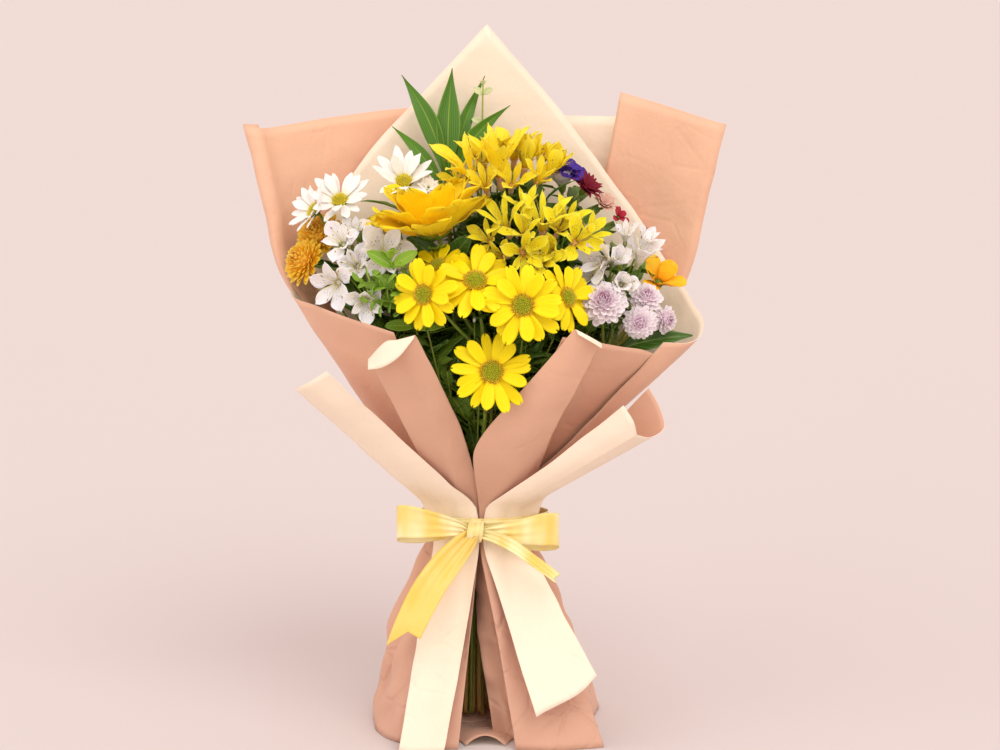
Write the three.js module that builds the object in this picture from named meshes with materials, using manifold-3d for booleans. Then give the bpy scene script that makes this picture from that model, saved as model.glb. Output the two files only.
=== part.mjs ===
// A mixed flower bouquet in a two-tone paper wrapper, tied with a satin ribbon.
// Millimetres, +Z up, front towards -Y. The origin is on the surface under the stems.
import * as THREE from 'three';
import { mergeVertices } from 'three/addons/utils/BufferGeometryUtils.js';
import Module from 'manifold-3d';

const wasm = await Module();
wasm.setup();
const { Manifold, Mesh: SolidMesh } = wasm;

// ---------------------------------------------------------------- driving sizes
const PAPER = 0.8;
const CLEARANCE = 0.35;
const TIE_HEIGHT = 165;
const TIE_BAND = 26;
const NECK = { x: 4, width: 25, depth: 15, widthStep: 3.1, depthStep: 2.3 };
const SKIRT_ROWS = 2;
const PETAL = 0.7;
const STEM_RADIUS = 2;
const STEM_SIDES = 5;
const STEM_SPACING = 2.75;
const BRANCH_RADIUS = 1.5;
const LEAF_CUP = 0.25;
const SPRIG_RADIUS = 1.2;
const CUT_END = { lowest: 3, range: 7, spreadX: 1.8, spreadY: 1.4, forward: 2 };
const STEM_BEND = { share: 0.44, depthShare: 0.4, above: 20 };
const STEM_LEAF = {
  count: 2, first: 0.55, step: 0.16, jitter: 0.06, length: 34, longer: 16, width: 12, wider: 3,
  turn: 2.4, forward: 0.7, out: 0.55, climb: 0.8,
};
const SPRIG_LEAF = { first: 0.985, step: 0.045, forward: 0.3, climb: 0.7, flatter: 0.2, inset: 0.9 };
const RIBBON = { width: 25, thick: 0.8, layer: 8.9, band: 16 };

const COLOURS = {
  pinkPaper: 0xdda98c,
  creamPaper: 0xfdebc8,
  satin: 0xf3d75c,
  lemon: 0xfff02a,
  disc: 0xb8b81e,
  golden: 0xffc21c,
  white: 0xf6f3ea,
  whiteDisc: 0xd9c52a,
  orange: 0xe09a14,
  lilac: 0xe6c9e0,
  yellow: 0xffdb22,
  lime: 0xe3dc2f,
  purple: 0x4a2f9c,
  palePurple: 0xe9e2ea,
  burgundy: 0x8a1c33,
  blush: 0xe8c4b4,
  red: 0xb52a3c,
  leaf: 0x3f7a22,
  freshLeaf: 0x86b833,
  paleLeaf: 0xc9d69a,
};

const root = new THREE.Group();
const UP = new THREE.Vector3(0, 0, 1);

// ---------------------------------------------------------------- small helpers
const vec = ([x, y, z]) => new THREE.Vector3(x, y, z);
const rad = (degrees) => THREE.MathUtils.degToRad(degrees);
const lerp = THREE.MathUtils.lerp;

/** Repeatable random numbers from 0 to 1. */
function draws(seed) {
  let state = seed >>> 0;
  return () => {
    state = (state + 0x6d2b79f5) >>> 0;
    let mixed = Math.imul(state ^ (state >>> 15), 1 | state);
    mixed = (mixed + Math.imul(mixed ^ (mixed >>> 7), 61 | mixed)) ^ mixed;
    return ((mixed ^ (mixed >>> 14)) >>> 0) / 4294967296;
  };
}

/** A closed three.js geometry as a solid that can be joined and cut. */
function solidOf(geometry) {
  const bare = geometry.clone();
  bare.deleteAttribute('normal');
  bare.deleteAttribute('uv');
  const merged = mergeVertices(bare, 1e-4);
  const mesh = new SolidMesh({
    numProp: 3,
    vertProperties: new Float32Array(merged.attributes.position.array),
    triVerts: new Uint32Array(merged.index.array),
  });
  return new Manifold(mesh);
}

/** A solid back as a three.js geometry. */
function geometryOf(solid) {
  const mesh = solid.getMesh();
  const geometry = new THREE.BufferGeometry();
  geometry.setAttribute('position', new THREE.BufferAttribute(mesh.vertProperties, 3));
  geometry.setIndex(new THREE.BufferAttribute(mesh.triVerts, 1));
  return geometry;
}

/** The largest body of a solid, with loose scraps dropped. */
function largest(solid) {
  const bodies = solid.decompose();
  return bodies.reduce((best, body) => (body.volume() > best.volume() ? body : best));
}

const join = (solids) => Manifold.union(solids);

/** A grid of points with its rim moved outwards by a distance. */
function widened(grid, distance) {
  const rows = grid.length - 1;
  const columns = grid[0].length - 1;
  const copy = grid.map((row) => row.map((point) => point.clone()));
  const push = (point, inner) => {
    const out = point.clone().sub(inner);
    if (out.length() > 1e-6) point.addScaledVector(out.normalize(), distance);
  };
  for (let j = 0; j <= columns; j += 1) {
    push(copy[0][j], grid[1][j]);
    push(copy[rows][j], grid[rows - 1][j]);
  }
  for (let i = 0; i <= rows; i += 1) {
    push(copy[i][0], grid[i][1]);
    push(copy[i][columns], grid[i][columns - 1]);
  }
  return copy;
}

/** One closed blade from a grid of points, thickened evenly to both sides. */
function blade(points, paper, extra = 0) {
  const thickness = paper + extra;
  const grid = extra > 0 ? widened(points, extra / 2) : points;
  const rows = grid.length;
  const columns = grid[0].length;
  const at = (i, j) => grid[Math.max(0, Math.min(rows - 1, i))][Math.max(0, Math.min(columns - 1, j))];
  const positions = [];
  for (const side of [0.5, -0.5]) {
    for (let i = 0; i < rows; i += 1) {
      for (let j = 0; j < columns; j += 1) {
        const along = at(i + 1, j).clone().sub(at(i - 1, j));
        const across = at(i, j + 1).clone().sub(at(i, j - 1));
        const normal = along.cross(across).normalize();
        const point = at(i, j).clone().addScaledVector(normal, side * thickness);
        positions.push(point.x, point.y, point.z);
      }
    }
  }
  const face = rows * columns;
  const id = (i, j) => i * columns + j;
  const index = [];
  for (let i = 0; i < rows - 1; i += 1) {
    for (let j = 0; j < columns - 1; j += 1) {
      const [a, b, c, d] = [id(i, j), id(i, j + 1), id(i + 1, j), id(i + 1, j + 1)];
      index.push(a, c, b, b, c, d);
      index.push(face + a, face + b, face + c, face + b, face + d, face + c);
    }
  }
  const rim = [];
  for (let j = 0; j < columns; j += 1) rim.push(id(0, j));
  for (let i = 1; i < rows; i += 1) rim.push(id(i, columns - 1));
  for (let j = columns - 2; j >= 0; j -= 1) rim.push(id(rows - 1, j));
  for (let i = rows - 2; i > 0; i -= 1) rim.push(id(i, 0));
  rim.forEach((here, k) => {
    const next = rim[(k + 1) % rim.length];
    index.push(here, next, face + here, next, face + next, face + here);
  });
  const geometry = new THREE.BufferGeometry();
  geometry.setAttribute('position', new THREE.Float32BufferAttribute(positions, 3));
  geometry.setIndex(index);
  return solidOf(geometry);
}

/** Point at a share of the length of a run of points. */
function pointAt(points, share) {
  const lengths = [0];
  for (let k = 1; k < points.length; k += 1) {
    lengths.push(lengths[k - 1] + points[k].distanceTo(points[k - 1]));
  }
  const wanted = share * lengths[lengths.length - 1];
  let k = 1;
  while (k < points.length - 1 && lengths[k] < wanted) k += 1;
  const part = (wanted - lengths[k - 1]) / (lengths[k] - lengths[k - 1]);
  return points[k - 1].clone().lerp(points[k], part);
}

// ---------------------------------------------------------------- placed pieces
const placed = [];

/** Adds a piece to the model, cut clear of the pieces before it. */
function place(name, colour, build, roughness = 0.7) {
  let solid = build(0);
  const box = solid.boundingBox();
  for (const other of placed) {
    const apart = [0, 1, 2].some((k) => box.min[k] > other.box.max[k] || box.max[k] < other.box.min[k]);
    if (!apart) solid = solid.subtract(other.wide);
  }
  solid = largest(solid);
  const wide = build(2 * CLEARANCE);
  placed.push({ wide, box: wide.boundingBox() });
  const material = new THREE.MeshStandardMaterial({ color: colour, roughness, metalness: 0 });
  const mesh = new THREE.Mesh(geometryOf(solid), material);
  mesh.name = name;
  root.add(mesh);
}

// ---------------------------------------------------------------- wrapper sheets
/** A point of the gathered neck, on the ring of one layer of paper. */
function neckPoint(layer, degrees, height) {
  const a = NECK.width + NECK.widthStep * layer;
  const b = NECK.depth + NECK.depthStep * layer;
  const angle = rad(degrees);
  return new THREE.Vector3(NECK.x + a * Math.cos(angle), b * Math.sin(angle), height);
}

/** Moves a point level and straight away from the neck's axis. */
function bowed(point, distance) {
  const out = new THREE.Vector3(point.x - NECK.x, point.y, 0).normalize();
  return point.clone().addScaledVector(out, distance);
}

/**
 * A sheet of paper that fans from the neck: straight lines run from its top edge,
 * where given by way of a middle line, to an arc of the neck, and on to its hem.
 * The arc and the middle line run in the order of the top edge's points.
 */
function sheetGrid(spec) {
  const { layer, top, via, lip, angles, low = angles, hem, bow = 0, skirtBow = 0 } = spec;
  const rows = spec.rows ?? (spec.bow ? 4 : 2);
  const edge = top.map(vec);
  const middle = (via ?? top).map(vec);
  const ring = (list, share) => {
    const spot = share * (list.length - 1);
    const k = Math.min(Math.floor(spot), list.length - 2);
    return lerp(list[k], list[k + 1], spot - k);
  };
  const between = (points, share) => {
    const spot = share * (points.length - 1);
    const k = Math.min(Math.floor(spot), points.length - 2);
    return points[k].clone().lerp(points[k + 1], spot - k);
  };
  const total = edge.slice(1).reduce((sum, point, k) => sum + point.distanceTo(edge[k]), 0);
  const turn = Math.abs(angles[angles.length - 1] - angles[0]);
  const wanted = Math.max(Math.ceil(turn / 20), edge.length - 1);
  const columns = [];
  edge.slice(1).forEach((point, k) => {
    const parts = Math.max(1, Math.round((wanted * point.distanceTo(edge[k])) / total));
    for (let part = 0; part < parts; part += 1) columns.push((k + part / parts) / (edge.length - 1));
  });
  columns.push(1);
  const grid = [];
  if (lip) {
    const turned = lip.map(vec);
    grid.push(columns.map((share) => between(turned, share)));
  }
  for (let i = 0; i <= rows; i += 1) {
    const down = i / rows;
    grid.push(columns.map((share) => {
      const neck = neckPoint(layer, ring(angles, share), TIE_HEIGHT + TIE_BAND / 2);
      const start = between(edge, share);
      let line = start.clone().lerp(neck, down);
      if (via) {
        const halfway = between(middle, share);
        line = down < 0.5 ? start.lerp(halfway, 2 * down) : halfway.lerp(neck, 2 * down - 1);
      }
      return bowed(line, bow * 4 * down * (1 - down));
    }));
  }
  const floor = hem.map(vec);
  for (let i = 0; i <= SKIRT_ROWS; i += 1) {
    const down = i / SKIRT_ROWS;
    grid.push(columns.map((share) => {
      const neck = neckPoint(layer, ring(low, share), TIE_HEIGHT - TIE_BAND / 2);
      const line = neck.lerp(pointAt(floor, share), down);
      return bowed(line, skirtBow * 4 * down * (1 - down));
    }));
  }
  return grid;
}

const SHEETS = {
  front_right_sheet: {
    colour: COLOURS.pinkPaper,
    layer: 0,
    top: [[62, -84, 322], [91, -82, 317], [108, -76, 313], [125, -66, 309], [140, -46, 300]],
    angles: [-112, -22],
    hem: [[12, -44, 0.5], [34, -58, 0.5], [62, -54, 0.5]],
  },
  peak_sheet: {
    colour: COLOURS.creamPaper,
    layer: 1.3,
    bow: 5,
    rows: 3,
    top: [[-139, 22, 374], [-95, 38, 438], [-56, 48, 482], [7, 56, 548], [69, 50, 476], [97, 44, 439],
      [125, 33, 400], [150, 16, 361], [166, -2, 336], [174, -18, 325], [171, -40, 317], [158, -56, 313],
      [140, -60, 314]],
    angles: [205, 180, 150, 95, 50, 30, 10, -8, -22, -34, -44, -53, -62],
    hem: [[-52, 30, 0.5], [-30, 52, 0.5], [20, 62, 0.5], [62, 48, 0.5], [80, 20, 0.5], [84, -20, 0.5],
      [70, -40, 0.5]],
  },
  back_left_sheet: {
    colour: COLOURS.pinkPaper,
    layer: 2.6,
    top: [[20, 74, 486], [-55, 72, 482], [-117, 56, 475], [-158, 34, 469], [-168, 20, 469],
      [-179, 22, 471], [-181, 36, 471], [-172, 48, 470]],
    via: [[20, 64, 345], [-48, 60, 348], [-100, 42, 350], [-130, 12, 352], [-137, 0, 352],
      [-142, -3, 352], [-144, 6, 352], [-137, 14, 352]],
    angles: [80, 110, 140, 168, 178, 186, 194, 202],
    hem: [[12, 66, 0.5], [-34, 60, 0.5], [-66, 34, 0.5], [-80, -4, 0.5], [-72, -30, 0.5]],
    low: [80, 226],
    skirtBow: 4,
  },
  back_right_sheet: {
    colour: COLOURS.pinkPaper,
    layer: 2.6,
    top: [[40, 76, 476], [106, 74, 475], [168, 58, 474], [190, 44, 471], [194, 36, 471], [187, 31, 473],
      [150, 46, 484], [112, 58, 495]],
    via: [[28, 64, 338], [76, 62, 338], [130, 46, 340], [158, 32, 342], [163, 25, 342], [158, 21, 343],
      [140, 28, 345], [124, 36, 347]],
    angles: [70, 45, 18, -4, -10, -16, -22, -28],
    hem: [[22, 67, 0.5], [66, 54, 0.5], [96, 36, 2], [92, 0, 0.5], [88, -20, 0.5]],
    low: [70, -40],
    skirtBow: 4,
  },
  front_left_outer_sheet: {
    colour: COLOURS.pinkPaper,
    layer: 4,
    bow: 3,
    top: [[-145, -8, 351], [-141, -28, 344], [-120, -50, 340], [-99, -64, 334], [-61, -82, 325]],
    angles: [180, 262],
    hem: [[-84, -6, 0.5], [-80, -34, 0.5], [-62, -60, 0.5], [-34, -68, 0.5]],
    skirtBow: 5,
  },
  front_left_inner_sheet: {
    colour: COLOURS.pinkPaper,
    layer: 5.2,
    lip: [[-79, -100, 300], [-68, -106, 304], [-57, -106, 309], [-46, -102, 316]],
    top: [[-80, -88, 308], [-68, -96, 323], [-58, -99, 325], [-45, -96, 326]],
    angles: [228, 273],
    hem: [[-50, -72, 0.5], [-28, -77, 0.5], [-10, -77, 0.5]],
  },
  front_right_band: {
    colour: COLOURS.pinkPaper,
    layer: 6.4,
    lip: [[73, -98, 326], [82, -99, 321], [91, -95, 315]],
    top: [[71, -95, 331], [81, -96, 326], [91, -92, 320]],
    angles: [266, 318],
    hem: [[29, -78, 0.5], [62, -80, 0.5], [97, -72, 0.5]],
    skirtBow: 3,
  },
  cream_left_strip: {
    colour: COLOURS.creamPaper,
    layer: 7.6,
    top: [[-134, -62, 279], [-126, -72, 285], [-112, -78, 295]],
    angles: [205, 268],
    low: [222, 268],
    hem: [[-60, -84, 0.5], [-44, -87, 0.5], [-26, -86, 0.5]],
  },
  cream_right_strip: {
    colour: COLOURS.creamPaper,
    layer: 7.6,
    top: [[110, -88, 271], [117, -92, 260], [120, -90, 249], [132, -80, 245], [142, -66, 250],
      [138, -58, 264], [130, -54, 278]],
    angles: [273, 338],
    low: [273, 312],
    hem: [[45, -94, 32], [75, -92, 48], [91, -86, 62]],
  },
};

/** The foot sheet hangs behind the stems, turns under their ends and comes forward. */
function footSheetGrid() {
  const spread = [-1, -0.5, 0, 0.5, 1];
  const behind = spread.map((s) => neckPoint(-1.2, 90 - 40 * s, TIE_HEIGHT + TIE_BAND / 2));
  const below = spread.map((s) => neckPoint(-1.2, 90 - 40 * s, TIE_HEIGHT - TIE_BAND / 2));
  const heel = spread.map((s) => new THREE.Vector3(4 + 44 * s, 46 - 8 * s * s, 26));
  const turn = spread.map((s) => new THREE.Vector3(4 + 50 * s, 40 - 8 * s * s, 4));
  const floor = [26, 12, -12, -22].map((y) => spread.map((s) => (
    new THREE.Vector3(4 + (40 + 0.2 * y) * s, y, PAPER / 2)
  )));
  const hem = spread.map((s) => new THREE.Vector3(6 + 15 * s, -70, 1 + 8 * (1 - s * s)));
  return [behind, below, heel, turn, ...floor, hem];
}

// ---------------------------------------------------------------- satin ribbon
/** A strip of ribbon along points, each with its own direction across. */
function strip(points, across, width, extra = 0) {
  const grid = points.map((point, k) => {
    const half = vec(across[k]).normalize().multiplyScalar((width[k] ?? width) / 2);
    return [vec(point).sub(half), vec(point), vec(point).add(half)];
  });
  return blade(grid, RIBBON.thick, extra);
}

/** A round piece turned about its own axis, which is the frame's Z. */
function turned(frame, profile, sides, extra = 0) {
  const middle = profile.reduce((sum, point) => sum + point[1], 0) / profile.length;
  const points = profile.map(([r, z]) => {
    const out = new THREE.Vector2(r, z - middle).normalize().multiplyScalar(extra / 2);
    return new THREE.Vector2(r === 0 ? 0 : r + out.x, z + out.y);
  });
  const geometry = new THREE.LatheGeometry(points, sides);
  geometry.rotateX(Math.PI / 2);
  geometry.applyMatrix4(frame);
  return solidOf(geometry);
}

/** A frame at a place, with its Z along a facing direction. */
function frameAt(at, face, roll = 0) {
  const turn = new THREE.Quaternion().setFromUnitVectors(UP, vec(face).normalize());
  turn.multiply(new THREE.Quaternion().setFromAxisAngle(UP, rad(roll)));
  return new THREE.Matrix4().compose(vec(at), turn, new THREE.Vector3(1, 1, 1));
}

/** A stem along points, with one ring of corners at each point and flat ends. */
function stalk(points, radius, extra = 0, sides = 4) {
  const way = points.map(vec);
  const reach = radius + extra / 2;
  const positions = [];
  const index = [];
  way.forEach((point, i) => {
    const along = (way[i + 1] ?? point).clone().sub(way[i - 1] ?? point).normalize();
    const first = new THREE.Vector3(1, 0, 0).cross(along).normalize();
    const second = along.clone().cross(first);
    const end = i === 0 ? -1 : Math.max(0, i + 2 - way.length);
    for (let k = 0; k < sides; k += 1) {
      const angle = (2 * Math.PI * k) / sides;
      const corner = point.clone().addScaledVector(first, reach * Math.cos(angle));
      corner.addScaledVector(second, reach * Math.sin(angle)).addScaledVector(along, (end * extra) / 2);
      positions.push(...corner.toArray());
      if (i === 0) continue;
      const [a, b] = [(i - 1) * sides + k, (i - 1) * sides + ((k + 1) % sides)];
      index.push(a, b, b + sides, a, b + sides, a + sides);
    }
  });
  const top = (way.length - 1) * sides;
  for (let k = 1; k < sides - 1; k += 1) index.push(0, k + 1, k, top, top + k, top + k + 1);
  const geometry = new THREE.BufferGeometry();
  geometry.setAttribute('position', new THREE.Float32BufferAttribute(positions, 3));
  geometry.setIndex(index);
  return solidOf(geometry);
}

function satinRibbon(extra) {
  const front = -(NECK.depth + NECK.depthStep * RIBBON.layer);
  const knot = [-2, front - 5, TIE_HEIGHT - 2];
  const band = [];
  const turns = 20;
  for (let k = 0; k < turns; k += 1) band.push(neckPoint(RIBBON.layer, (360 * k) / turns, 0));
  const outer = new THREE.Shape(band.map((point) => new THREE.Vector2(point.x, point.y)));
  const inner = band.map((point) => bowed(point, -RIBBON.thick));
  outer.holes.push(new THREE.Path(inner.map((point) => new THREE.Vector2(point.x, point.y))));
  const ring = new THREE.ExtrudeGeometry(outer, { depth: RIBBON.band, bevelEnabled: false });
  ring.translate(0, 0, TIE_HEIGHT - RIBBON.band / 2 - 1);
  const loop = (side, drop) => strip(
    [
      [knot[0], knot[1] + 1, knot[2]],
      [side * 24, front - 9, 169 - drop],
      [side * 48, front - 12, 172 - drop],
      [side * 60, front - 8, 172 - drop],
      [side * 62, front - 3, 171 - drop],
      [side * 58, front - 1, 168 - drop],
      [side * 30, front - 1.4, 166 - drop],
      [knot[0], knot[1] + 3, knot[2]],
    ],
    [[0, 0, 1], [0.05, 0, 1], [0, 0, 1], [0, 0, 1], [0, 0, 1], [0, 0, 1], [0, 0, 1], [0, 0, 1]],
    [9, 18, 24, 25, 25, 25, 16, 9],
    extra,
  );
  const tails = [
    strip(
      [
        [knot[0], knot[1] + 1, knot[2]],
        [-16, front - 17, 154],
        [-34, front - 36, 132],
        [-48, front - 50, 108],
        [-54, front - 56, 94],
      ],
      [[0.5, 0, 0.9], [0.7, 0, 0.75], [0.85, 0, 0.5], [0.95, 0, 0.3], [0.95, 0, 0.3]],
      [8, 16, 25, 26, 26],
      extra,
    ),
    strip(
      [[knot[0], knot[1] + 1, knot[2]], [16, front - 14, 160], [38, front - 26, 150], [60, front - 36, 134]],
      [[0, 0.3, 1], [0, 0.5, 1], [0.3, 0.6, 0.8], [0.5, 0.6, 0.7]],
      [8, 10, 9, 8],
      extra,
    ),
  ];
  const tie = turned(frameAt(knot, [0, -1, 0.1]), [[0, -6], [7, -5], [9.5, 0], [7, 3.4], [0, 4]], 10, extra);
  return join([solidOf(ring), loop(-1, 0), loop(1, 6), ...tails, tie]);
}

// ---------------------------------------------------------------- blooms
/**
 * One petal in its bloom's frame: it leaves the axis at a radius, rises at an angle
 * that turns by the curl over its length, and follows a list of width shares. Each
 * row has its two edge points and the direction of the petal's upper face.
 */
function petalRows(petal, turn) {
  const { from, length, width, rise, curl, lift = 0, shape } = petal;
  const spin = new THREE.Matrix4().makeRotationZ(turn);
  return shape.map((share, i) => {
    const s = i / (shape.length - 1);
    const middle = rad(rise + (curl * s) / 2);
    const slope = rad(rise + curl * s);
    const r = from + length * s * Math.cos(middle);
    const z = lift + length * s * Math.sin(middle);
    const half = (width * share) / 2;
    return {
      edges: [-half, half].map((y) => new THREE.Vector3(r, y, z).applyMatrix4(spin)),
      normal: new THREE.Vector3(-Math.sin(slope), 0, Math.cos(slope)).applyMatrix4(spin),
    };
  });
}

/**
 * A ring of petals grown together at the middle as one closed body. The petal kinds
 * take turns round the ring, and the underside of the middle runs down to a point.
 */
function flowerRing(frame, kinds, count, seed, extra = 0) {
  const draw = draws(seed);
  const thick = PETAL + extra;
  const start = kinds[0].start ?? 0;
  const petals = [];
  for (let k = 0; k < count; k += 1) {
    const kind = kinds[k % kinds.length];
    const turn = rad(start) + (2 * Math.PI * (k + 0.16 * (draw() - 0.5))) / count;
    const length = kind.length * (0.92 + 0.14 * draw()) + extra / 2;
    const rise = kind.rise + 3 * (draw() - 0.5);
    petals.push(petalRows({ ...kind, length, rise, width: kind.width + extra }, turn));
  }
  const { lift = 0, drop = 3, crown = 0 } = kinds[0];
  const points = [
    new THREE.Vector3(0, 0, lift + crown + thick / 2),
    new THREE.Vector3(0, 0, lift - drop - thick / 2),
  ];
  const rim = [];
  const index = [];
  petals.forEach((rows) => {
    const right = [];
    const left = [];
    rows.forEach(({ edges, normal }) => {
      edges.forEach((edge, side) => {
        (side ? left : right).push(points.length);
        points.push(edge.clone().addScaledVector(normal, thick / 2));
        points.push(edge.clone().addScaledVector(normal, -thick / 2));
      });
    });
    for (let i = 0; i < right.length - 1; i += 1) {
      const [a, b, c, d] = [right[i], right[i + 1], left[i + 1], left[i]];
      index.push(a, b, c, a, c, d, a + 1, c + 1, b + 1, a + 1, d + 1, c + 1);
    }
    rim.push([...right, ...left.reverse()]);
  });
  rim.forEach((run, k) => {
    const next = rim[(k + 1) % rim.length][0];
    const [first, last] = [run[0], run[run.length - 1]];
    index.push(0, first, last, 0, last, next, 1, last + 1, first + 1, 1, next + 1, last + 1);
    [...run, next].slice(1).forEach((b, i) => {
      const a = run[i];
      index.push(a, a + 1, b + 1, a, b + 1, b);
    });
  });
  const geometry = new THREE.BufferGeometry();
  const flat = points.flatMap((point) => point.applyMatrix4(frame).toArray());
  geometry.setAttribute('position', new THREE.Float32BufferAttribute(flat, 3));
  geometry.setIndex(index);
  return solidOf(geometry);
}

const DAISY_SHAPE = [0.2, 1, 0.5];
const BROAD_SHAPE = [0.3, 1, 0.55];
const POINTED_SHAPE = [0.24, 1, 0.12];
const SHORT_SHAPE = [0.6, 1];
const LEAF_SHAPE = [0.3, 1, 0.08];
const ROUND_SHAPE = [0.4, 1, 0.5];

/** Daisy petals, low and raised by turns, on their hub. */
function daisyPetals(bloom, seed, extra) {
  const { at, face, size, roll = 0, rise = 4, count = 14 } = bloom;
  const low = {
    from: 0.2 * size,
    length: 0.8 * size,
    width: 0.36 * size,
    rise,
    curl: -14,
    shape: DAISY_SHAPE,
    drop: 4,
  };
  const high = { ...low, length: 0.7 * size, rise: rise + 16 };
  return flowerRing(frameAt(at, face, roll), [low, high], count, seed, extra);
}

/** Domed disc of a daisy, its surface raised and sunk by turns like its florets. */
function daisyDisc(bloom, extra) {
  const { at, face, size, roll = 0, disc = 0.27 } = bloom;
  const r = disc * size;
  const base = PETAL / 2 + 1.9;
  const profile = [[0, base - 1.2], [0.8 * r, base], [r, base + 0.3 * r], [0.55 * r, base + 0.55 * r],
    [0, base + 0.42 * r]];
  const sides = 9;
  const geometry = new THREE.LatheGeometry(profile.map(([x, y]) => {
    const out = extra / 2;
    return new THREE.Vector2(x === 0 ? 0 : x + out, y + (y > base ? out : -out));
  }), sides);
  const position = geometry.attributes.position;
  const rings = profile.length;
  for (let k = 0; k < position.count; k += 1) {
    const ring = k % rings;
    const side = Math.floor(k / rings) % sides;
    if (ring === 3) position.setY(k, position.getY(k) + (side % 2 ? 0.5 : -0.4));
  }
  geometry.rotateX(Math.PI / 2);
  geometry.applyMatrix4(frameAt(at, face, roll));
  return solidOf(geometry);
}

/** A wide cup of broad petals round a low boss. */
function goldenBloom(bloom, seed, extra) {
  const { at, face, size, rise } = bloom;
  const low = {
    from: 0.16 * size,
    length: 0.86 * size,
    width: 0.52 * size,
    rise,
    curl: -26,
    shape: BROAD_SHAPE,
    drop: 6,
    crown: 3,
  };
  const high = { ...low, length: 0.74 * size, width: 0.46 * size, rise: rise + 17 };
  return flowerRing(frameAt(at, face, 20), [low, high], 14, seed, extra);
}

/** A ball of short petals in tiers round a solid middle. */
function pompon(bloom, seed, extra) {
  const { at, face, size, tiers = [8, 7, 4] } = bloom;
  const frame = frameAt(at, face);
  const tier = (count, rise, from, lift, reach, drop, start) => flowerRing(
    frame,
    [{ from: from * size, length: reach * size, width: (4.6 * reach * size) / count, rise, curl: -16,
      lift: lift * size, drop: drop * size, crown: 0.16 * size, shape: SHORT_SHAPE, start }],
    count,
    seed + count,
    extra,
  );
  return join([
    tier(tiers[0], -6, 0.4, 0, 0.6, 0.5, 0),
    tier(tiers[1], 30, 0.34, 0.2, 0.58, 0.34, 20),
    tier(tiers[2], 60, 0.2, 0.42, 0.48, 0.36, 8),
  ]);
}

/** A trumpet floret: a slim tube with broad and narrow petals by turns. */
function trumpet(floret, seed, extra) {
  const { at, face, size, roll = 0, open = 52 } = floret;
  const broad = {
    from: 0.14 * size,
    length: size,
    width: 0.56 * size,
    rise: open,
    curl: -58,
    shape: BROAD_SHAPE,
    drop: 0.5 * size,
  };
  const narrow = { ...broad, width: 0.34 * size, length: 0.84 * size, rise: open + 8, shape: SHORT_SHAPE };
  return flowerRing(frameAt(at, face, roll), [broad, narrow], 6, seed, extra);
}

/** A spray of trumpets whose stalks meet in one place. */
function trumpetSpray(spray, seed, extra) {
  const solids = [];
  spray.florets.forEach((floret, k) => {
    solids.push(trumpet(floret, seed + 7 * k, extra));
    const tail = vec(floret.at).addScaledVector(vec(floret.face).normalize(), -0.36 * floret.size);
    const bend = tail.clone().addScaledVector(vec(floret.face).normalize(), -0.4 * floret.size);
    solids.push(stalk([spray.meet, bend.toArray(), tail.toArray()], 1.3, extra));
  });
  solids.push(turned(frameAt(spray.meet, [0, 0, 1]), [[0, -2.4], [2.6, 0], [0, 2.4]], 5, extra));
  return join(solids);
}

/** A small cup of petals, open and upright by turns. */
function rosette(bloom, seed, extra) {
  const { at, face, size, roll = 0, count = 6, rise = 30, shape = BROAD_SHAPE } = bloom;
  const open = {
    from: 0.16 * size,
    length: 0.9 * size,
    width: (3.4 * size) / count,
    rise,
    curl: -24,
    shape,
    drop: 0.4 * size,
  };
  const upright = { ...open, length: 0.7 * size, rise: rise + 24 };
  return flowerRing(frameAt(at, face, roll), [open, upright], count, seed, extra);
}

/** A leaf from base to tip; with a fold it has a midrib between its two halves. */
function leaf({ base, tip, width, normal, shape = LEAF_SHAPE, sag = 0.1, fold = false }, extra = 0) {
  const start = vec(base);
  const run = vec(tip).sub(start);
  const across = run.clone().cross(vec(normal)).normalize();
  const lift = across.clone().cross(run).normalize();
  const grid = shape.map((share, i) => {
    const s = i / (shape.length - 1);
    const rib = start.clone().addScaledVector(run, s);
    rib.addScaledVector(lift, sag * run.length() * 4 * s * (1 - s));
    const half = (width * share) / 2;
    const edge = (side) => (
      rib.clone().addScaledVector(across, side * half).addScaledVector(lift, LEAF_CUP * half)
    );
    return fold ? [edge(-1), rib, edge(1)] : [edge(-1), edge(1)];
  });
  return blade(grid, PETAL, extra);
}

const YELLOW_DAISIES = [
  { at: [34, -94, 347], face: [-0.05, -0.99, 0.12], size: 30, roll: 10 },
  { at: [-38, -88, 354], face: [-0.4, -0.9, 0.08], size: 27, roll: 0 },
  { at: [11, -86, 296], face: [0.05, -0.96, 0.22], size: 31, roll: 5 },
  { at: [-1, -80, 362], face: [0, -0.72, 0.69], size: 31, roll: 14 },
  { at: [66, -78, 350], face: [0.62, -0.68, 0.32], size: 26, roll: 0, count: 12 },
  { at: [-29, -60, 371], face: [-0.3, -0.5, 0.8], size: 23, roll: 8, count: 12 },
];
const WHITE_DAISIES = [
  { at: [-105, -10, 416], face: [-0.1, -0.62, 0.78], size: 23, rise: 22, count: 12 },
  { at: [-122, -14, 404], face: [-0.85, -0.35, 0.2], size: 22, roll: 9, rise: 30, count: 12 },
  { at: [-56, -18, 432], face: [0, -0.55, 0.83], size: 27, roll: 4, rise: 30, count: 12 },
];
const GOLDEN_BLOOM = { at: [-30, -46, 398], face: [-0.15, -0.32, 0.93], size: 50, rise: 30 };
const SMALL_TIERS = [7, 6, 3];
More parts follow.
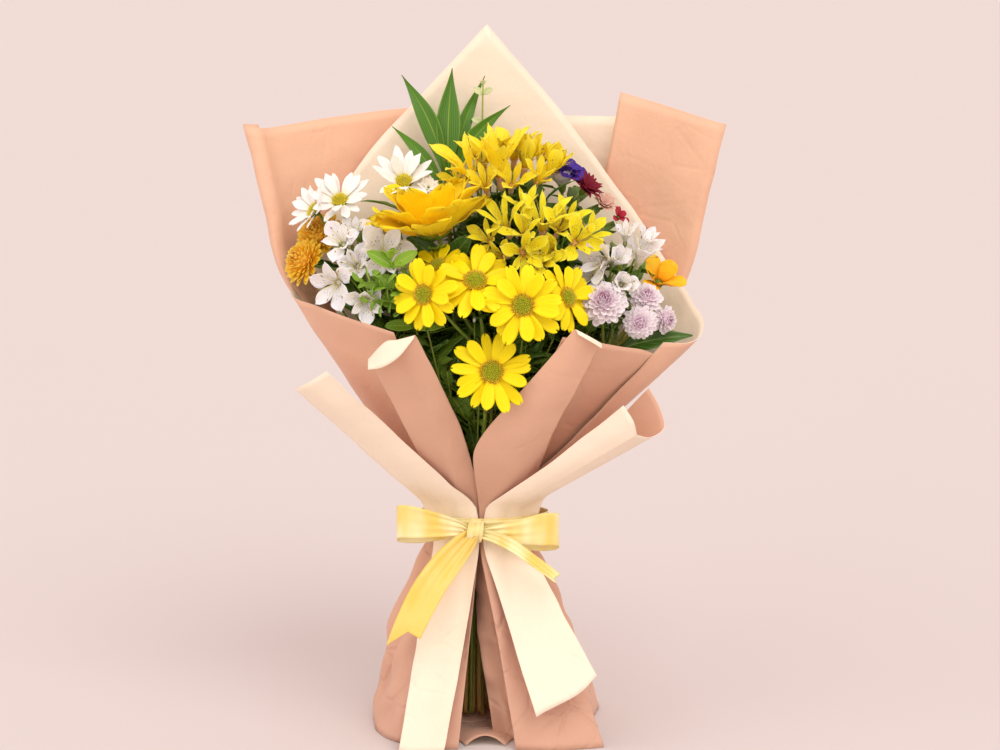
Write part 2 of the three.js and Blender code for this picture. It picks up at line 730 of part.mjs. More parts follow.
const POMPONS = [
  { name: 'orange_pompon_1', colour: COLOURS.orange, at: [-120, 8, 388], face: [-0.4, -0.5, 0.75],
    size: 20 },
  { name: 'orange_pompon_2', colour: COLOURS.orange, at: [-133, -18, 370], face: [-0.85, -0.4, 0.3],
    size: 20 },
  { name: 'lilac_pompon_1', colour: COLOURS.lilac, at: [94, -66, 345], face: [0, -0.85, 0.5], size: 19 },
  { name: 'lilac_pompon_2', colour: COLOURS.lilac, at: [127, -48, 346], face: [0.1, -0.75, 0.6], size: 14,
    tiers: SMALL_TIERS },
  { name: 'lilac_pompon_3', colour: COLOURS.lilac, at: [122, -60, 329], face: [-0.1, -0.95, 0.1], size: 14,
    tiers: SMALL_TIERS },
  { name: 'lilac_pompon_4', colour: COLOURS.lilac, at: [142, -44, 329], face: [0.6, -0.75, 0], size: 12,
    tiers: SMALL_TIERS },
];
const SPRAYS = [
  {
    name: 'yellow_alstroemeria_top',
    colour: COLOURS.yellow,
    meet: [14, 0, 408],
    florets: [
      { at: [-8, -20, 440], face: [-0.35, -0.45, 0.85], size: 23, roll: 10 },
      { at: [16, -22, 444], face: [0.0, -0.5, 0.86], size: 23, roll: 40 },
      { at: [36, -12, 444], face: [0.2, -0.4, 0.9], size: 20, roll: 20 },
      { at: [52, -16, 438], face: [0.45, -0.4, 0.8], size: 17, roll: 0 },
    ],
  },
  {
    name: 'yellow_alstroemeria_middle',
    colour: COLOURS.lime,
    meet: [40, -30, 366],
    florets: [
      { at: [24, -50, 400], face: [-0.2, -0.6, 0.78], size: 22, roll: 0 },
      { at: [50, -46, 404], face: [0.15, -0.6, 0.78], size: 22, roll: 30 },
      { at: [72, -50, 388], face: [0.45, -0.75, 0.5], size: 19, roll: 10 },
      { at: [32, -64, 384], face: [-0.1, -0.95, 0.3], size: 18, roll: 45 },
    ],
  },
  {
    name: 'white_alstroemeria_left',
    colour: COLOURS.white,
    meet: [-82, -26, 338],
    florets: [
      { at: [-72, -50, 376], face: [0, -0.9, 0.45], size: 23, roll: 0 },
      { at: [-104, -46, 362], face: [-0.45, -0.8, 0.1], size: 21, roll: 20 },
      { at: [-82, -62, 346], face: [0.05, -0.98, -0.1], size: 17, roll: 40 },
      { at: [-108, -32, 384], face: [-0.3, -0.8, 0.5], size: 17, roll: 0 },
    ],
  },
  {
    name: 'white_alstroemeria_right',
    colour: COLOURS.white,
    meet: [104, -22, 338],
    florets: [
      { at: [92, -46, 374], face: [-0.35, -0.85, 0.1], size: 20, roll: 0 },
      { at: [122, -28, 374], face: [0.25, -0.6, 0.75], size: 20, roll: 20 },
      { at: [108, -48, 356], face: [0.1, -0.9, 0.3], size: 15, roll: 0, open: 66 },
    ],
  },
];
const ROSETTES = [
  { name: 'lisianthus_base', colour: COLOURS.palePurple, at: [65, 0, 428], face: [0, -0.25, 0.97], size: 15,
    rise: 62 },
  { name: 'lisianthus_petals', colour: COLOURS.purple, at: [71, 2, 441], face: [0.5, -0.3, 0.8], size: 15,
    rise: 20, count: 8, shape: POINTED_SHAPE },
  { name: 'burgundy_bloom', colour: COLOURS.burgundy, at: [82, -6, 424], face: [0.5, -0.5, 0.7], size: 15,
    shape: POINTED_SHAPE },
  { name: 'blush_bloom', colour: COLOURS.blush, at: [96, -6, 412], face: [0.4, -0.6, 0.7], size: 12,
    shape: POINTED_SHAPE },
  { name: 'red_bloom', colour: COLOURS.red, at: [108, -4, 402], face: [0.5, -0.6, 0.6], size: 9 },
  { name: 'orange_freesia', colour: COLOURS.golden, at: [138, -20, 354], face: [0.3, -0.6, 0.75], size: 22,
    rise: 36 },
  { name: 'white_bud_head', colour: COLOURS.white, at: [-37, -28, 427], face: [0.2, -0.8, 0.5], size: 9,
    shape: POINTED_SHAPE },
];

// ---------------------------------------------------------------- stems and foliage
/** Where a head's stem ends, just under it. */
const under = ({ at, face }, drop) => vec(at).addScaledVector(vec(face).normalize(), -drop).toArray();

/**
 * Leafy stems from the tie: the points each passes, the branches from its points to
 * their ends, and its single leaves, the tall pointed ones folded along their midribs.
 */
const STEMS = [
  {
    name: 'yellow_daisy_stems',
    way: [[6, -50, 258], [8, -46, 300]],
    branches: [
      [0, under(YELLOW_DAISIES[2], 5)],
      ...[0, 1, 3, 4, 5].map((k) => [1, under(YELLOW_DAISIES[k], 5)]),
    ],
    leaves: [],
  },
  {
    name: 'golden_bloom_stem',
    way: [[-18, -26, 340], under(GOLDEN_BLOOM, 7)],
    branches: [],
    leaves: [
      { base: [-22, -32, 370], tip: [-50, -42, 391], width: 16, normal: [0, -1, 0.5], shape: ROUND_SHAPE },
      { base: [-21, -33, 368], tip: [-8, -50, 391], width: 16, normal: [0, -1, 0.5], shape: ROUND_SHAPE },
      { base: [-19, -29, 350], tip: [6, -42, 366], width: 13, normal: [0, -1, 0.5] },
    ],
  },
  {
    name: 'left_stems',
    way: [[-72, -20, 318], [-92, -4, 362]],
    branches: [
      [0, [-82, -26, 335]],
      ...[WHITE_DAISIES[0], WHITE_DAISIES[1]].map((bloom) => [1, under(bloom, 5)]),
      ...[POMPONS[0], POMPONS[1]].map((bloom) => [1, under(bloom, 11)]),
    ],
    leaves: [{ base: [-84, -11, 342], tip: [-100, -44, 380], width: 13, normal: [0, -1, 0.3] }],
  },
  {
    name: 'tall_leaf_stem',
    way: [[-22, 4, 392], [-22, 12, 428]],
    branches: [WHITE_DAISIES[2], ROSETTES[6]].map((bloom) => [0, under(bloom, 5)]),
    leaves: [
      { base: [-23, 12, 424], tip: [-61, 30, 508], width: 17, normal: [-0.3, -1, 0.2], fold: true },
      { base: [-22, 11, 424], tip: [-20, 26, 514], width: 18, normal: [0, -1, 0.1], fold: true },
      { base: [-22, 12, 422], tip: [7, 36, 508], width: 10, normal: [0.2, -1, 0.1], fold: true },
      { base: [-22, 11, 420], tip: [24, 22, 486], width: 11, normal: [0.3, -0.8, 0.6], fold: true },
      { base: [-22, 11, 414], tip: [-67, 28, 470], width: 9, normal: [0, -1, 0.1], fold: true },
    ],
  },
  { name: 'top_spray_stem', way: [[14, 0, 405]], branches: [], leaves: [] },
  { name: 'middle_spray_stem', way: [[40, -30, 363]], branches: [], leaves: [] },
  {
    name: 'back_right_stems',
    way: [[52, 2, 350], [66, -4, 388]],
    branches: [0, 2, 3, 4].map((k) => [1, under(ROSETTES[k], 7)]),
    leaves: [
      { base: [64, -3, 382], tip: [92, -16, 414], width: 12, normal: [0, -1, 0.4] },
      { base: [61, -2, 374], tip: [104, -16, 398], width: 13, normal: [0, -1, 0.2] },
    ],
  },
  {
    name: 'right_stems',
    way: [[96, -34, 298], [104, -24, 333]],
    branches: [[1, under(ROSETTES[5], 9)], ...[2, 3, 4, 5].map((k) => [0, under(POMPONS[k], 10)])],
    leaves: [
      { base: [97, -34, 300], tip: [158, -52, 322], width: 17, normal: [0, -1, 0.5] },
      { base: [103, -25, 328], tip: [122, -40, 366], width: 13, normal: [0, -1, 0.3] },
    ],
  },
];
const LIME_SPRIG = { top: [-64, -74, 378], pairs: 4, length: 22, width: 10 };
const PALE_SPRIG = { top: [4, 30, 502], pairs: 3, length: 9, width: 6 };

/** Places in the tie, close together in a round bundle, one for each stem. */
function tieSlot(k) {
  const angle = Math.PI * (3 - Math.sqrt(5)) * k;
  const reach = STEM_SPACING * Math.sqrt(k + 0.4);
  return [reach * Math.cos(angle), reach * Math.sin(angle)];
}

/** The nearest free place in the tie for each stem, the outermost stem first. */
function slotsFor(ends) {
  const free = ends.map((_, k) => tieSlot(k));
  const wishes = ends.map(([x, y]) => [x / 14, (y + 22) / 6]);
  const order = wishes.map((wish, k) => [Math.hypot(...wish), k]).sort((a, b) => b[0] - a[0]);
  const taken = [];
  order.forEach(([, k]) => {
    const wish = wishes[k];
    const distance = ([x, y]) => Math.hypot(x - wish[0], y - wish[1]);
    free.sort((a, b) => distance(a) - distance(b));
    taken[k] = free.shift();
  });
  return taken;
}

const tops = [...STEMS.map((stem) => stem.way.at(-1)), LIME_SPRIG.top, PALE_SPRIG.top];
const slots = slotsFor(tops);

/** The way of a stem from its cut end, in close touch at the tie, on through its points. */
function stemWay(k, points) {
  const [x, y] = slots[k];
  const cut = [
    CUT_END.spreadX * x,
    CUT_END.spreadY * y - CUT_END.forward,
    CUT_END.lowest + CUT_END.range * draws(900 + k)(),
  ];
  const first = points[0];
  const halfway = [
    lerp(x, first[0], STEM_BEND.share),
    lerp(y, first[1], STEM_BEND.depthShare),
    lerp(TIE_HEIGHT + STEM_BEND.above, first[2], STEM_BEND.share),
  ];
  return [cut, [x, y, TIE_HEIGHT], halfway, ...points];
}

/** A stem and its branches, without leaves. */
function bareStem(k, extra) {
  const { way, branches } = STEMS[k];
  const trunk = stalk(stemWay(k, way), STEM_RADIUS, extra, STEM_SIDES);
  return join([trunk, ...branches.map(([from, end]) => stalk([way[from], end], BRANCH_RADIUS, extra))]);
}

const wideStems = STEMS.map((_, k) => bareStem(k, 2 * CLEARANCE));

/** A stem with its leaves, which are cut where they would touch another stem. */
function leafyStem(k, extra) {
  const draw = draws(500 + k);
  const line = stemWay(k, STEMS[k].way).map(vec);
  const specs = [...STEMS[k].leaves];
  for (let n = 0; n < STEM_LEAF.count; n += 1) {
    const base = pointAt(line, STEM_LEAF.first + STEM_LEAF.step * n + STEM_LEAF.jitter * draw());
    const around = STEM_LEAF.turn * (STEM_LEAF.count * k + n);
    const out = new THREE.Vector3(Math.cos(around), Math.sin(around) - STEM_LEAF.forward, 0).normalize();
    const length = STEM_LEAF.length + STEM_LEAF.longer * draw();
    const tip = base.clone().addScaledVector(out, STEM_LEAF.out * length);
    tip.z += STEM_LEAF.climb * length;
    const width = STEM_LEAF.width + STEM_LEAF.wider * draw();
    specs.push({ base: base.toArray(), tip: tip.toArray(), width, normal: [out.x, out.y, -0.6] });
  }
  const others = join(wideStems.filter((_, other) => other !== k));
  const leaves = join(specs.map((spec) => leaf(spec, extra))).subtract(others);
  return join([bareStem(k, extra), leaves]);
}

/** A thin sprig with opposite leaves towards its top, its stem running to the tie. */
function sprig(spec, index, extra) {
  const way = stemWay(STEMS.length + index, [spec.top]);
  const solids = [stalk(way, SPRIG_RADIUS, extra)];
  const line = way.map(vec);
  for (let k = 0; k < spec.pairs; k += 1) {
    const base = pointAt(line, SPRIG_LEAF.first - SPRIG_LEAF.step * k);
    [-1, 1].forEach((side) => {
      const climb = SPRIG_LEAF.climb - SPRIG_LEAF.flatter * k;
      const out = new THREE.Vector3(side, -SPRIG_LEAF.forward, climb).normalize();
      const foot = base.clone().addScaledVector(out, SPRIG_LEAF.inset);
      const tip = base.clone().addScaledVector(out, spec.length);
      solids.push(leaf({
        base: foot.toArray(), tip: tip.toArray(), width: spec.width, normal: [0, -1, 0.5], shape: ROUND_SHAPE,
      }, extra));
    });
  }
  return join(solids);
}

// ---------------------------------------------------------------- the bouquet
place('foot_sheet', COLOURS.pinkPaper, (extra) => blade(footSheetGrid(), PAPER, extra));
for (const [name, spec] of Object.entries(SHEETS)) {
  place(name, spec.colour, (extra) => blade(sheetGrid(spec), PAPER, extra));
}
place('satin_ribbon', COLOURS.satin, satinRibbon, 0.35);

YELLOW_DAISIES.forEach((bloom, k) => {
  place(`yellow_daisy_${k + 1}_petals`, COLOURS.lemon, (extra) => daisyPetals(bloom, 11 + k, extra));
  place(`yellow_daisy_${k + 1}_disc`, COLOURS.disc, (extra) => daisyDisc(bloom, extra));
});
WHITE_DAISIES.forEach((bloom, k) => {
  place(`white_daisy_${k + 1}_petals`, COLOURS.white, (extra) => daisyPetals(bloom, 41 + k, extra));
  const small = { ...bloom, disc: 0.22 };
  place(`white_daisy_${k + 1}_disc`, COLOURS.whiteDisc, (extra) => daisyDisc(small, extra));
});
POMPONS.forEach((bloom, k) => {
  place(bloom.name, bloom.colour, (extra) => pompon(bloom, 61 + k, extra));
});
place('golden_bloom', COLOURS.golden, (extra) => goldenBloom(GOLDEN_BLOOM, 71, extra));
SPRAYS.forEach((spray, k) => {
  place(spray.name, spray.colour, (extra) => trumpetSpray(spray, 81 + 40 * k, extra));
});
ROSETTES.forEach((bloom, k) => {
  place(bloom.name, bloom.colour, (extra) => rosette(bloom, 301 + 9 * k, extra));
});
place('lime_sprig', COLOURS.freshLeaf, (extra) => sprig(LIME_SPRIG, 0, extra));
place('pale_sprig', COLOURS.paleLeaf, (extra) => sprig(PALE_SPRIG, 1, extra));
STEMS.forEach((stem, k) => place(stem.name, COLOURS.leaf, (extra) => leafyStem(k, extra)));

export default root;
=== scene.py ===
"""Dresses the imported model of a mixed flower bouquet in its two-tone paper wrapper.

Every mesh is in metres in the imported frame: +Z up, the front towards -Y, and the surface
that the bouquet stands on at z = 0. The places and sizes that classes and tables give are in
millimetres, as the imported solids' sizes are, unless a docstring says otherwise.
"""
import logging
import math
from dataclasses import dataclass, replace
from enum import Enum
from typing import Iterable, Sequence

import bpy
import numpy as np
from mathutils import Matrix, Vector


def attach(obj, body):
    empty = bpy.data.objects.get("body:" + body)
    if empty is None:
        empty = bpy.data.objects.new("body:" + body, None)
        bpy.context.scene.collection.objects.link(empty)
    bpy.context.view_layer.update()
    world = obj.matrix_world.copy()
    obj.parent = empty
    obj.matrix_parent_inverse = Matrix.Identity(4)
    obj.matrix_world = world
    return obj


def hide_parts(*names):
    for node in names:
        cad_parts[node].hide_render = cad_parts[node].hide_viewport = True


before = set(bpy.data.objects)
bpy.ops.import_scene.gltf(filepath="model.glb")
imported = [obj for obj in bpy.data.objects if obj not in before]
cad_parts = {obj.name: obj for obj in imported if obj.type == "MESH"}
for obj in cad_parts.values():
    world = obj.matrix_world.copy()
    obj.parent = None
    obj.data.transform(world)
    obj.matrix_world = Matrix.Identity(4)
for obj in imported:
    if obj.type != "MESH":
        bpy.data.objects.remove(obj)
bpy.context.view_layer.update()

MM = 0.001
LOG = logging.getLogger("bouquet")
GOLDEN_TURN = math.pi * (3 - math.sqrt(5))

Point = tuple[float, float, float]
Way = Sequence[Sequence[float]]


# ------------------------------------------------------------------ node graphs
class Graph:
    """A node tree being built, with one method that makes every node in it."""

    def __init__(self, tree: bpy.types.NodeTree) -> None:
        """Wraps a tree.

        Args:
            tree: The node tree to build in.
        """
        self.tree = tree

    def node(
        self,
        kind: str,
        settings: dict[str, object] | None = None,
        inputs: dict[str | int, object] | None = None,
    ) -> bpy.types.Node:
        """Adds a node.

        Args:
            kind: The node's type name.
            settings: Its own properties, set first.
            inputs: Values or links of its sockets, by name or index.

        Returns:
            The new node.
        """
        made = self.tree.nodes.new(kind)
        for name, value in (settings or {}).items():
            setattr(made, name, value)
        for name, value in (inputs or {}).items():
            self.feed(made.inputs[name], value)
        return made

    def feed(self, socket: bpy.types.NodeSocket, value: object) -> None:
        """Links a socket to a value's source, or sets its own constant.

        Args:
            socket: The input socket.
            value: A Value, an output socket, a node, or a plain constant.
        """
        if isinstance(value, Value):
            self.tree.links.new(value.socket, socket)
        elif isinstance(value, bpy.types.Node):
            self.tree.links.new(value.outputs[0], socket)
        elif isinstance(value, bpy.types.NodeSocket):
            self.tree.links.new(value, socket)
        else:
            socket.default_value = value

    def value(self, source: bpy.types.Node | bpy.types.NodeSocket | float) -> "Value":
        """Wraps a node's first output or a socket so that it can be used in expressions."""
        return Value(self, source.outputs[0] if isinstance(source, bpy.types.Node) else source)

    def parts(self, vector: object) -> tuple["Value", "Value", "Value"]:
        """Splits a vector into its three numbers."""
        split = self.node("ShaderNodeSeparateXYZ", inputs={0: vector})
        return tuple(Value(self, socket) for socket in split.outputs)

    def vector(self, x: object, y: object, z: object) -> bpy.types.NodeSocket:
        """Joins three numbers into a vector."""
        return self.node("ShaderNodeCombineXYZ", inputs={0: x, 1: y, 2: z}).outputs[0]

    def scaled(self, vector: object, factor: object) -> bpy.types.Node:
        """A vector times a number."""
        return self.node("ShaderNodeVectorMath", {"operation": "SCALE"}, {0: vector, "Scale": factor})

    def together(self, operation: str, first: object, second: object) -> bpy.types.Node:
        """Two vectors worked together by a Vector Math operation."""
        return self.node("ShaderNodeVectorMath", {"operation": operation}, {0: first, 1: second})


class Value:
    """A socket that carries a number; each operator adds one Math node to its graph."""

    def __init__(self, graph: Graph, socket: bpy.types.NodeSocket) -> None:
        """Wraps a socket of a graph."""
        self.graph = graph
        self.socket = socket

    def _maths(self, operation: str, *operands: object) -> "Value":
        """Adds a Math node that works on the operands."""
        made = self.graph.node("ShaderNodeMath", {"operation": operation}, dict(enumerate(operands)))
        return Value(self.graph, made.outputs[0])

    def __add__(self, other: object) -> "Value":
        """self + other."""
        return self._maths("ADD", self, other)

    def __radd__(self, other: object) -> "Value":
        """other + self."""
        return self._maths("ADD", other, self)

    def __sub__(self, other: object) -> "Value":
        """self - other."""
        return self._maths("SUBTRACT", self, other)

    def __rsub__(self, other: object) -> "Value":
        """other - self."""
        return self._maths("SUBTRACT", other, self)

    def __mul__(self, other: object) -> "Value":
        """self * other."""
        return self._maths("MULTIPLY", self, other)

    def __rmul__(self, other: object) -> "Value":
        """other * self."""
        return self._maths("MULTIPLY", other, self)

    def __truediv__(self, other: object) -> "Value":
        """self / other."""
        return self._maths("DIVIDE", self, other)

    def __pow__(self, other: object) -> "Value":
        """self ** other."""
        return self._maths("POWER", self, other)

    def __abs__(self) -> "Value":
        """The size of self without its sign."""
        return self._maths("ABSOLUTE", self)

    def sine(self) -> "Value":
        """The sine of self in radians."""
        return self._maths("SINE", self)

    def cosine(self) -> "Value":
        """The cosine of self in radians."""
        return self._maths("COSINE", self)

    def eased(self, low: float, high: float) -> "Value":
        """A smooth step of self.

        Args:
            low: Where the step starts; it may lie above high to turn the step round.
            high: Where the step ends.

        Returns:
            0 before low, 1 after high.
        """
        if low > high:
            return 1 - self.eased(high, low)
        step = self.graph.node(
            "ShaderNodeMapRange",
            {"interpolation_type": "SMOOTHSTEP"},
            {"Value": self, "From Min": low, "From Max": high},
        )
        return Value(self.graph, step.outputs[0])


# ------------------------------------------------------------------ finishes
def colour(code: str) -> tuple[float, float, float, float]:
    """Turns a colour code into Blender's linear colour.

    Args:
        code: Six hexadecimal digits.

    Returns:
        Linear red, green, blue and 1.
    """
    shares = [int(code[k : k + 2], 16) / 255 for k in (0, 2, 4)]
    linear = [c / 12.92 if c <= 0.04045 else ((c + 0.055) / 1.055) ** 2.4 for c in shares]
    return (*linear, 1.0)


def midway(first: str, second: str) -> tuple[float, ...]:
    """The colour midway between two colour codes."""
    return tuple((a + b) / 2 for a, b in zip(colour(first), colour(second)))


class Shader(Graph):
    """A material's graph, with the patterns that the finishes share."""

    def __init__(self, name: str) -> None:
        """Starts an empty material.

        Args:
            name: The material's name.
        """
        self.material = bpy.data.materials.new(name)
        self.material.use_nodes = True
        super().__init__(self.material.node_tree)
        self.tree.nodes.clear()
        self._places = None

    @property
    def place(self) -> bpy.types.NodeSocket:
        """Object coordinates, in metres, read by one node for the whole material.

        Returns:
            The coordinates' socket.
        """
        if self._places is None:
            self._places = self.node("ShaderNodeTexCoord").outputs["Object"]
        return self._places

    def marks(self) -> tuple[Value, Value, Value]:
        """Along, across and chance, as each repeated part carries them."""
        reader = self.node("ShaderNodeAttribute", {"attribute_name": "marks"})
        return self.parts(reader.outputs["Vector"])

    def ring(self) -> Value:
        """How far from its head's middle a repeated part stands, from 0 to 1."""
        reader = self.node("ShaderNodeAttribute", {"attribute_name": "ring"})
        return self.value(reader.outputs["Fac"])

    def noise(self, scale: float, detail: float = 3.0, stretch: Point = (1, 1, 1)) -> Value:
        """Soft cloudy variation from 0 to 1.

        Args:
            scale: Clouds to the metre.
            detail: Finer layers.
            stretch: Scale along each axis.

        Returns:
            The variation.
        """
        source = self.place
        if stretch != (1, 1, 1):
            source = self.node("ShaderNodeMapping", inputs={"Vector": source, "Scale": stretch}).outputs[0]
        cloud = self.node("ShaderNodeTexNoise", inputs={"Vector": source, "Scale": scale, "Detail": detail})
        return self.value(cloud.outputs[0])

    def creases(self, scale: float, width: float) -> Value:
        """Thin lines between the facets of crumpled paper.

        Args:
            scale: Facets to a metre.
            width: How wide the lines are, as a share of a facet.

        Returns:
            1 on the lines, 0 between them.
        """
        facets = self.node(
            "ShaderNodeTexVoronoi", {"feature": "DISTANCE_TO_EDGE"}, {"Vector": self.place, "Scale": scale}
        )
        lines = self.value(facets.outputs["Distance"]).eased(width, 0.0)
        return lines * self.noise(22.0, 1).eased(0.42, 0.62)

    def mixed(self, share: object, first: object, second: object) -> bpy.types.NodeSocket:
        """Mixes two colours.

        Args:
            share: 0 gives the first colour and 1 the second.
            first: A colour or its socket.
            second: A colour or its socket.

        Returns:
            The mixed colour's socket.
        """
        mix = self.node("ShaderNodeMix", {"data_type": "RGBA"}, {0: share, 6: first, 7: second})
        return mix.outputs[2]

    def bump(self, height: Value, distance: float, strength: float = 1.0) -> bpy.types.NodeSocket:
        """A fine relief for the Normal socket.

        Args:
            height: The relief's height from 0 to 1.
            distance: Its depth in metres.
            strength: Its share.

        Returns:
            The normal's socket.
        """
        made = self.node(
            "ShaderNodeBump", inputs={"Height": height, "Distance": distance, "Strength": strength}
        )
        return made.outputs[0]

    def surface(self, **sockets: object) -> bpy.types.Material:
        """Ends the material in a Principled surface.

        Args:
            **sockets: Its sockets, with underscores for spaces.

        Returns:
            The finished material.
        """
        named = {name.replace("_", " "): value for name, value in sockets.items()}
        named.setdefault("Specular IOR Level", 0.4)
        shader = self.node("ShaderNodeBsdfPrincipled", inputs=named)
        self.node("ShaderNodeOutputMaterial", inputs={0: shader})
        return self.material


@dataclass(frozen=True)
class PaperFinish:
    """Matt wrapping paper: fine fibres and faint clouds, painted shade along its crease lines, and painted
    light that makes it lighter and warmer where it stands high.
    """

    name: str
    low: str
    high: str
    rough: float = 0.62
    # The colour that the cloudy mottling and the painted shade of the crease lines darken towards.
    mottle_and_crease_shade: str = "a4705a"
    crumple: float = 1.0

    def material(self) -> bpy.types.Material:
        """Builds the paper's material.

        Returns:
            The material.
        """
        s = Shader(self.name)
        fibres = s.noise(900, 4, (1, 1, 0.35))
        clouds = s.noise(14, 2)
        height = s.parts(s.place)[2]
        # Painted light and shade: lighter and warmer where the paper stands high, darker and browner low
        # down.
        tone = s.mixed(height.eased(0.12, 0.46), colour(self.low), colour(self.high))
        creases = (s.creases(34.0, 0.09) + s.creases(15.0, 0.05)) * (height.eased(0.21, 0.13) * 0.8 + 0.2)
        # Clouds and fibres are the paper's own mottling; the crease lines are darkened as painted shade.
        shade = clouds.eased(0.62, 0.35) * 0.16 + fibres * 0.06 + creases * (0.1 * self.crumple)
        crumple = s.noise(38, 4) * 0.9 + fibres * 0.1 - creases * (0.5 * self.crumple)
        return s.surface(
            Base_Color=s.mixed(shade, tone, midway(self.low, self.mottle_and_crease_shade)),
            Roughness=fibres * 0.16 + (self.rough - 0.08),
            Normal=s.bump(crumple, 0.0022, 0.7),
            Sheen_Weight=0.12,
        )


@dataclass(frozen=True)
class SatinFinish:
    """Satin ribbon: fine crosswise yarns under a soft gloss, soft cloudy patches of painted shade, deeper
    edges, and deeper painted shade on the strips marked for it.
    """

    name: str = "satin_ribbon_weave"
    light: str = "fff7be"
    # The colour of the cloudy painted shade and of the edges.
    deep: str = "f4d766"
    # The colour of the painted shade on the strips marked for it, such as the wide tail.
    painted_tail_shade: str = "f0c844"

    def material(self) -> bpy.types.Material:
        """Builds the satin's material.

        Returns:
            The material.
        """
        s = Shader(self.name)
        along, across, shade = s.marks()
        yarns = (across * 260).sine() * 0.5 + 0.5
        weft = (along * 2600).sine() * 0.5 + 0.5
        cloud = s.noise(45, 2, (1, 1, 0.4))
        edge = abs(across).eased(0.9, 1.0)
        # Painted shade in soft cloudy patches.
        tone = s.mixed(cloud.eased(0.35, 0.68), colour(self.light), colour(self.deep))
        # Painted shade on the strips whose marks ask for it.
        tone = s.mixed(shade * 0.85, tone, colour(self.painted_tail_shade))
        return s.surface(
            Base_Color=s.mixed(edge * 0.35, tone, colour(self.deep)),
            Roughness=cloud * 0.12 + 0.25,
            Normal=s.bump(yarns * 0.6 + weft * 0.4, 0.00006, 0.5),
            Sheen_Weight=0.25,
            Specular_IOR_Level=0.7,
            Anisotropic=0.5,
        )


@dataclass(frozen=True)
class PetalFinish:
    """A petal's colour from root to tip, its lengthwise veins, and its streaks or spots."""

    name: str
    root: str
    middle: str
    tip: str
    root_reach: float = 0.3
    tip_start: float = 0.75
    vein: str = ""
    veins: float = 9.0
    vein_share: float = 0.3
    streak: str = ""
    streak_range: tuple[float, float] = (0.25, 0.8)
    edge: str = ""
    rough: float = 0.5
    glow: float = 0.1

    def material(self) -> bpy.types.Material:
        """Builds the petal's material.

        Returns:
            The material.
        """
        s = Shader(self.name)
        along, across, chance = s.marks()
        base = s.mixed(along.eased(0.0, self.root_reach), colour(self.root), colour(self.middle))
        base = s.mixed(along.eased(self.tip_start, 1.0), base, colour(self.tip))
        wander = s.noise(70, 2) - 0.5
        lines = ((across + wander * 0.12) * (self.veins * math.pi)).cosine() * 0.5 + 0.5
        if self.vein:
            base = s.mixed((lines ** 3.0) * self.vein_share, base, colour(self.vein))
        if self.edge:
            base = s.mixed(abs(across).eased(0.55, 1.0) * 0.7, base, colour(self.edge))
        if self.streak:
            low, high = self.streak_range
            dash = (along * 46 + chance * 30 + across * 9).sine().eased(-0.25, 0.25)
            line = (across * (5.5 * math.pi)).cosine().eased(0.72, 0.9)
            window = along.eased(low, low + 0.1) * along.eased(high, high - 0.12)
            window = window * abs(across).eased(0.78, 0.6)
            base = s.mixed(line * dash * window * 0.9, base, colour(self.streak))
        grain = s.noise(1100, 2)
        return s.surface(
            Base_Color=s.mixed(chance * 0.22, base, midway(self.root, self.middle)),
            Roughness=grain * 0.15 + (self.rough - 0.07),
            Normal=s.bump(lines * 0.7 + grain * 0.3, 0.00016, 0.55),
            Subsurface_Weight=self.glow,
            Subsurface_Radius=(0.004, 0.003, 0.0015),
            Subsurface_Scale=0.4,
            Specular_IOR_Level=0.22,
            Sheen_Weight=0.03,
        )


@dataclass(frozen=True)
class LeafFinish:
    """A leaf blade: pale midrib and side veins on green, with patches and a soft gloss."""

    name: str
    dark: str
    light: str
    rib: str
    rough: float = 0.42
    side_veins: float = 7.0
    parallel: bool = False

    def material(self) -> bpy.types.Material:
        """Builds the leaf's material.

        Returns:
            The material.
        """
        s = Shader(self.name)
        along, across, chance = s.marks()
        patches = s.noise(55, 3)
        tone = s.mixed(chance * 0.65 + patches * 0.35, colour(self.dark), colour(self.light))
        spread = abs(across)
        if self.parallel:
            veins = (across * (11 * math.pi)).cosine().eased(0.55, 0.98)
        else:
            veins = ((along * self.side_veins - spread * 1.6) * (2 * math.pi)).sine().eased(0.86, 0.99)
        rib = spread.eased(0.1, 0.02)
        tone = s.mixed(veins * 0.3, tone, colour(self.rib))
        tone = s.mixed(rib * 0.6, tone, colour(self.rib))
        tone = s.mixed(spread.eased(0.86, 1.0) * 0.35, tone, colour(self.rib))
        return s.surface(
            Base_Color=tone,
            Roughness=patches * 0.2 + (self.rough - 0.1),
            Normal=s.bump(1 - (veins * 0.6 + rib), 0.0003, 0.6),
            Subsurface_Weight=0.05,
            Subsurface_Radius=(0.002, 0.004, 0.001),
            Subsurface_Scale=0.4,
        )


@dataclass(frozen=True)
class StemFinish:
    """A round stem: lengthwise ridges, lighter and browner towards its foot."""

    name: str
    top: str
    foot: str
    bark: str

    def material(self) -> bpy.types.Material:
        """Builds the stem's material.

        Returns:
            The material.
        """
        s = Shader(self.name)
        along, _, _ = s.marks()
        streaks = s.noise(240, 3, (1, 1, 0.08))
        patches = s.noise(30, 2, (1, 1, 0.4))
        tone = s.mixed(along.eased(0.0, 0.3), colour(self.foot), colour(self.top))
        tone = s.mixed(streaks.eased(0.45, 0.75) * 0.6, tone, colour(self.bark))
        return s.surface(
            Base_Color=s.mixed(patches.eased(0.5, 0.75) * 0.5, tone, colour(self.foot)),
            Roughness=streaks * 0.3 + 0.35,
            Normal=s.bump(streaks, 0.0005, 0.7),
        )


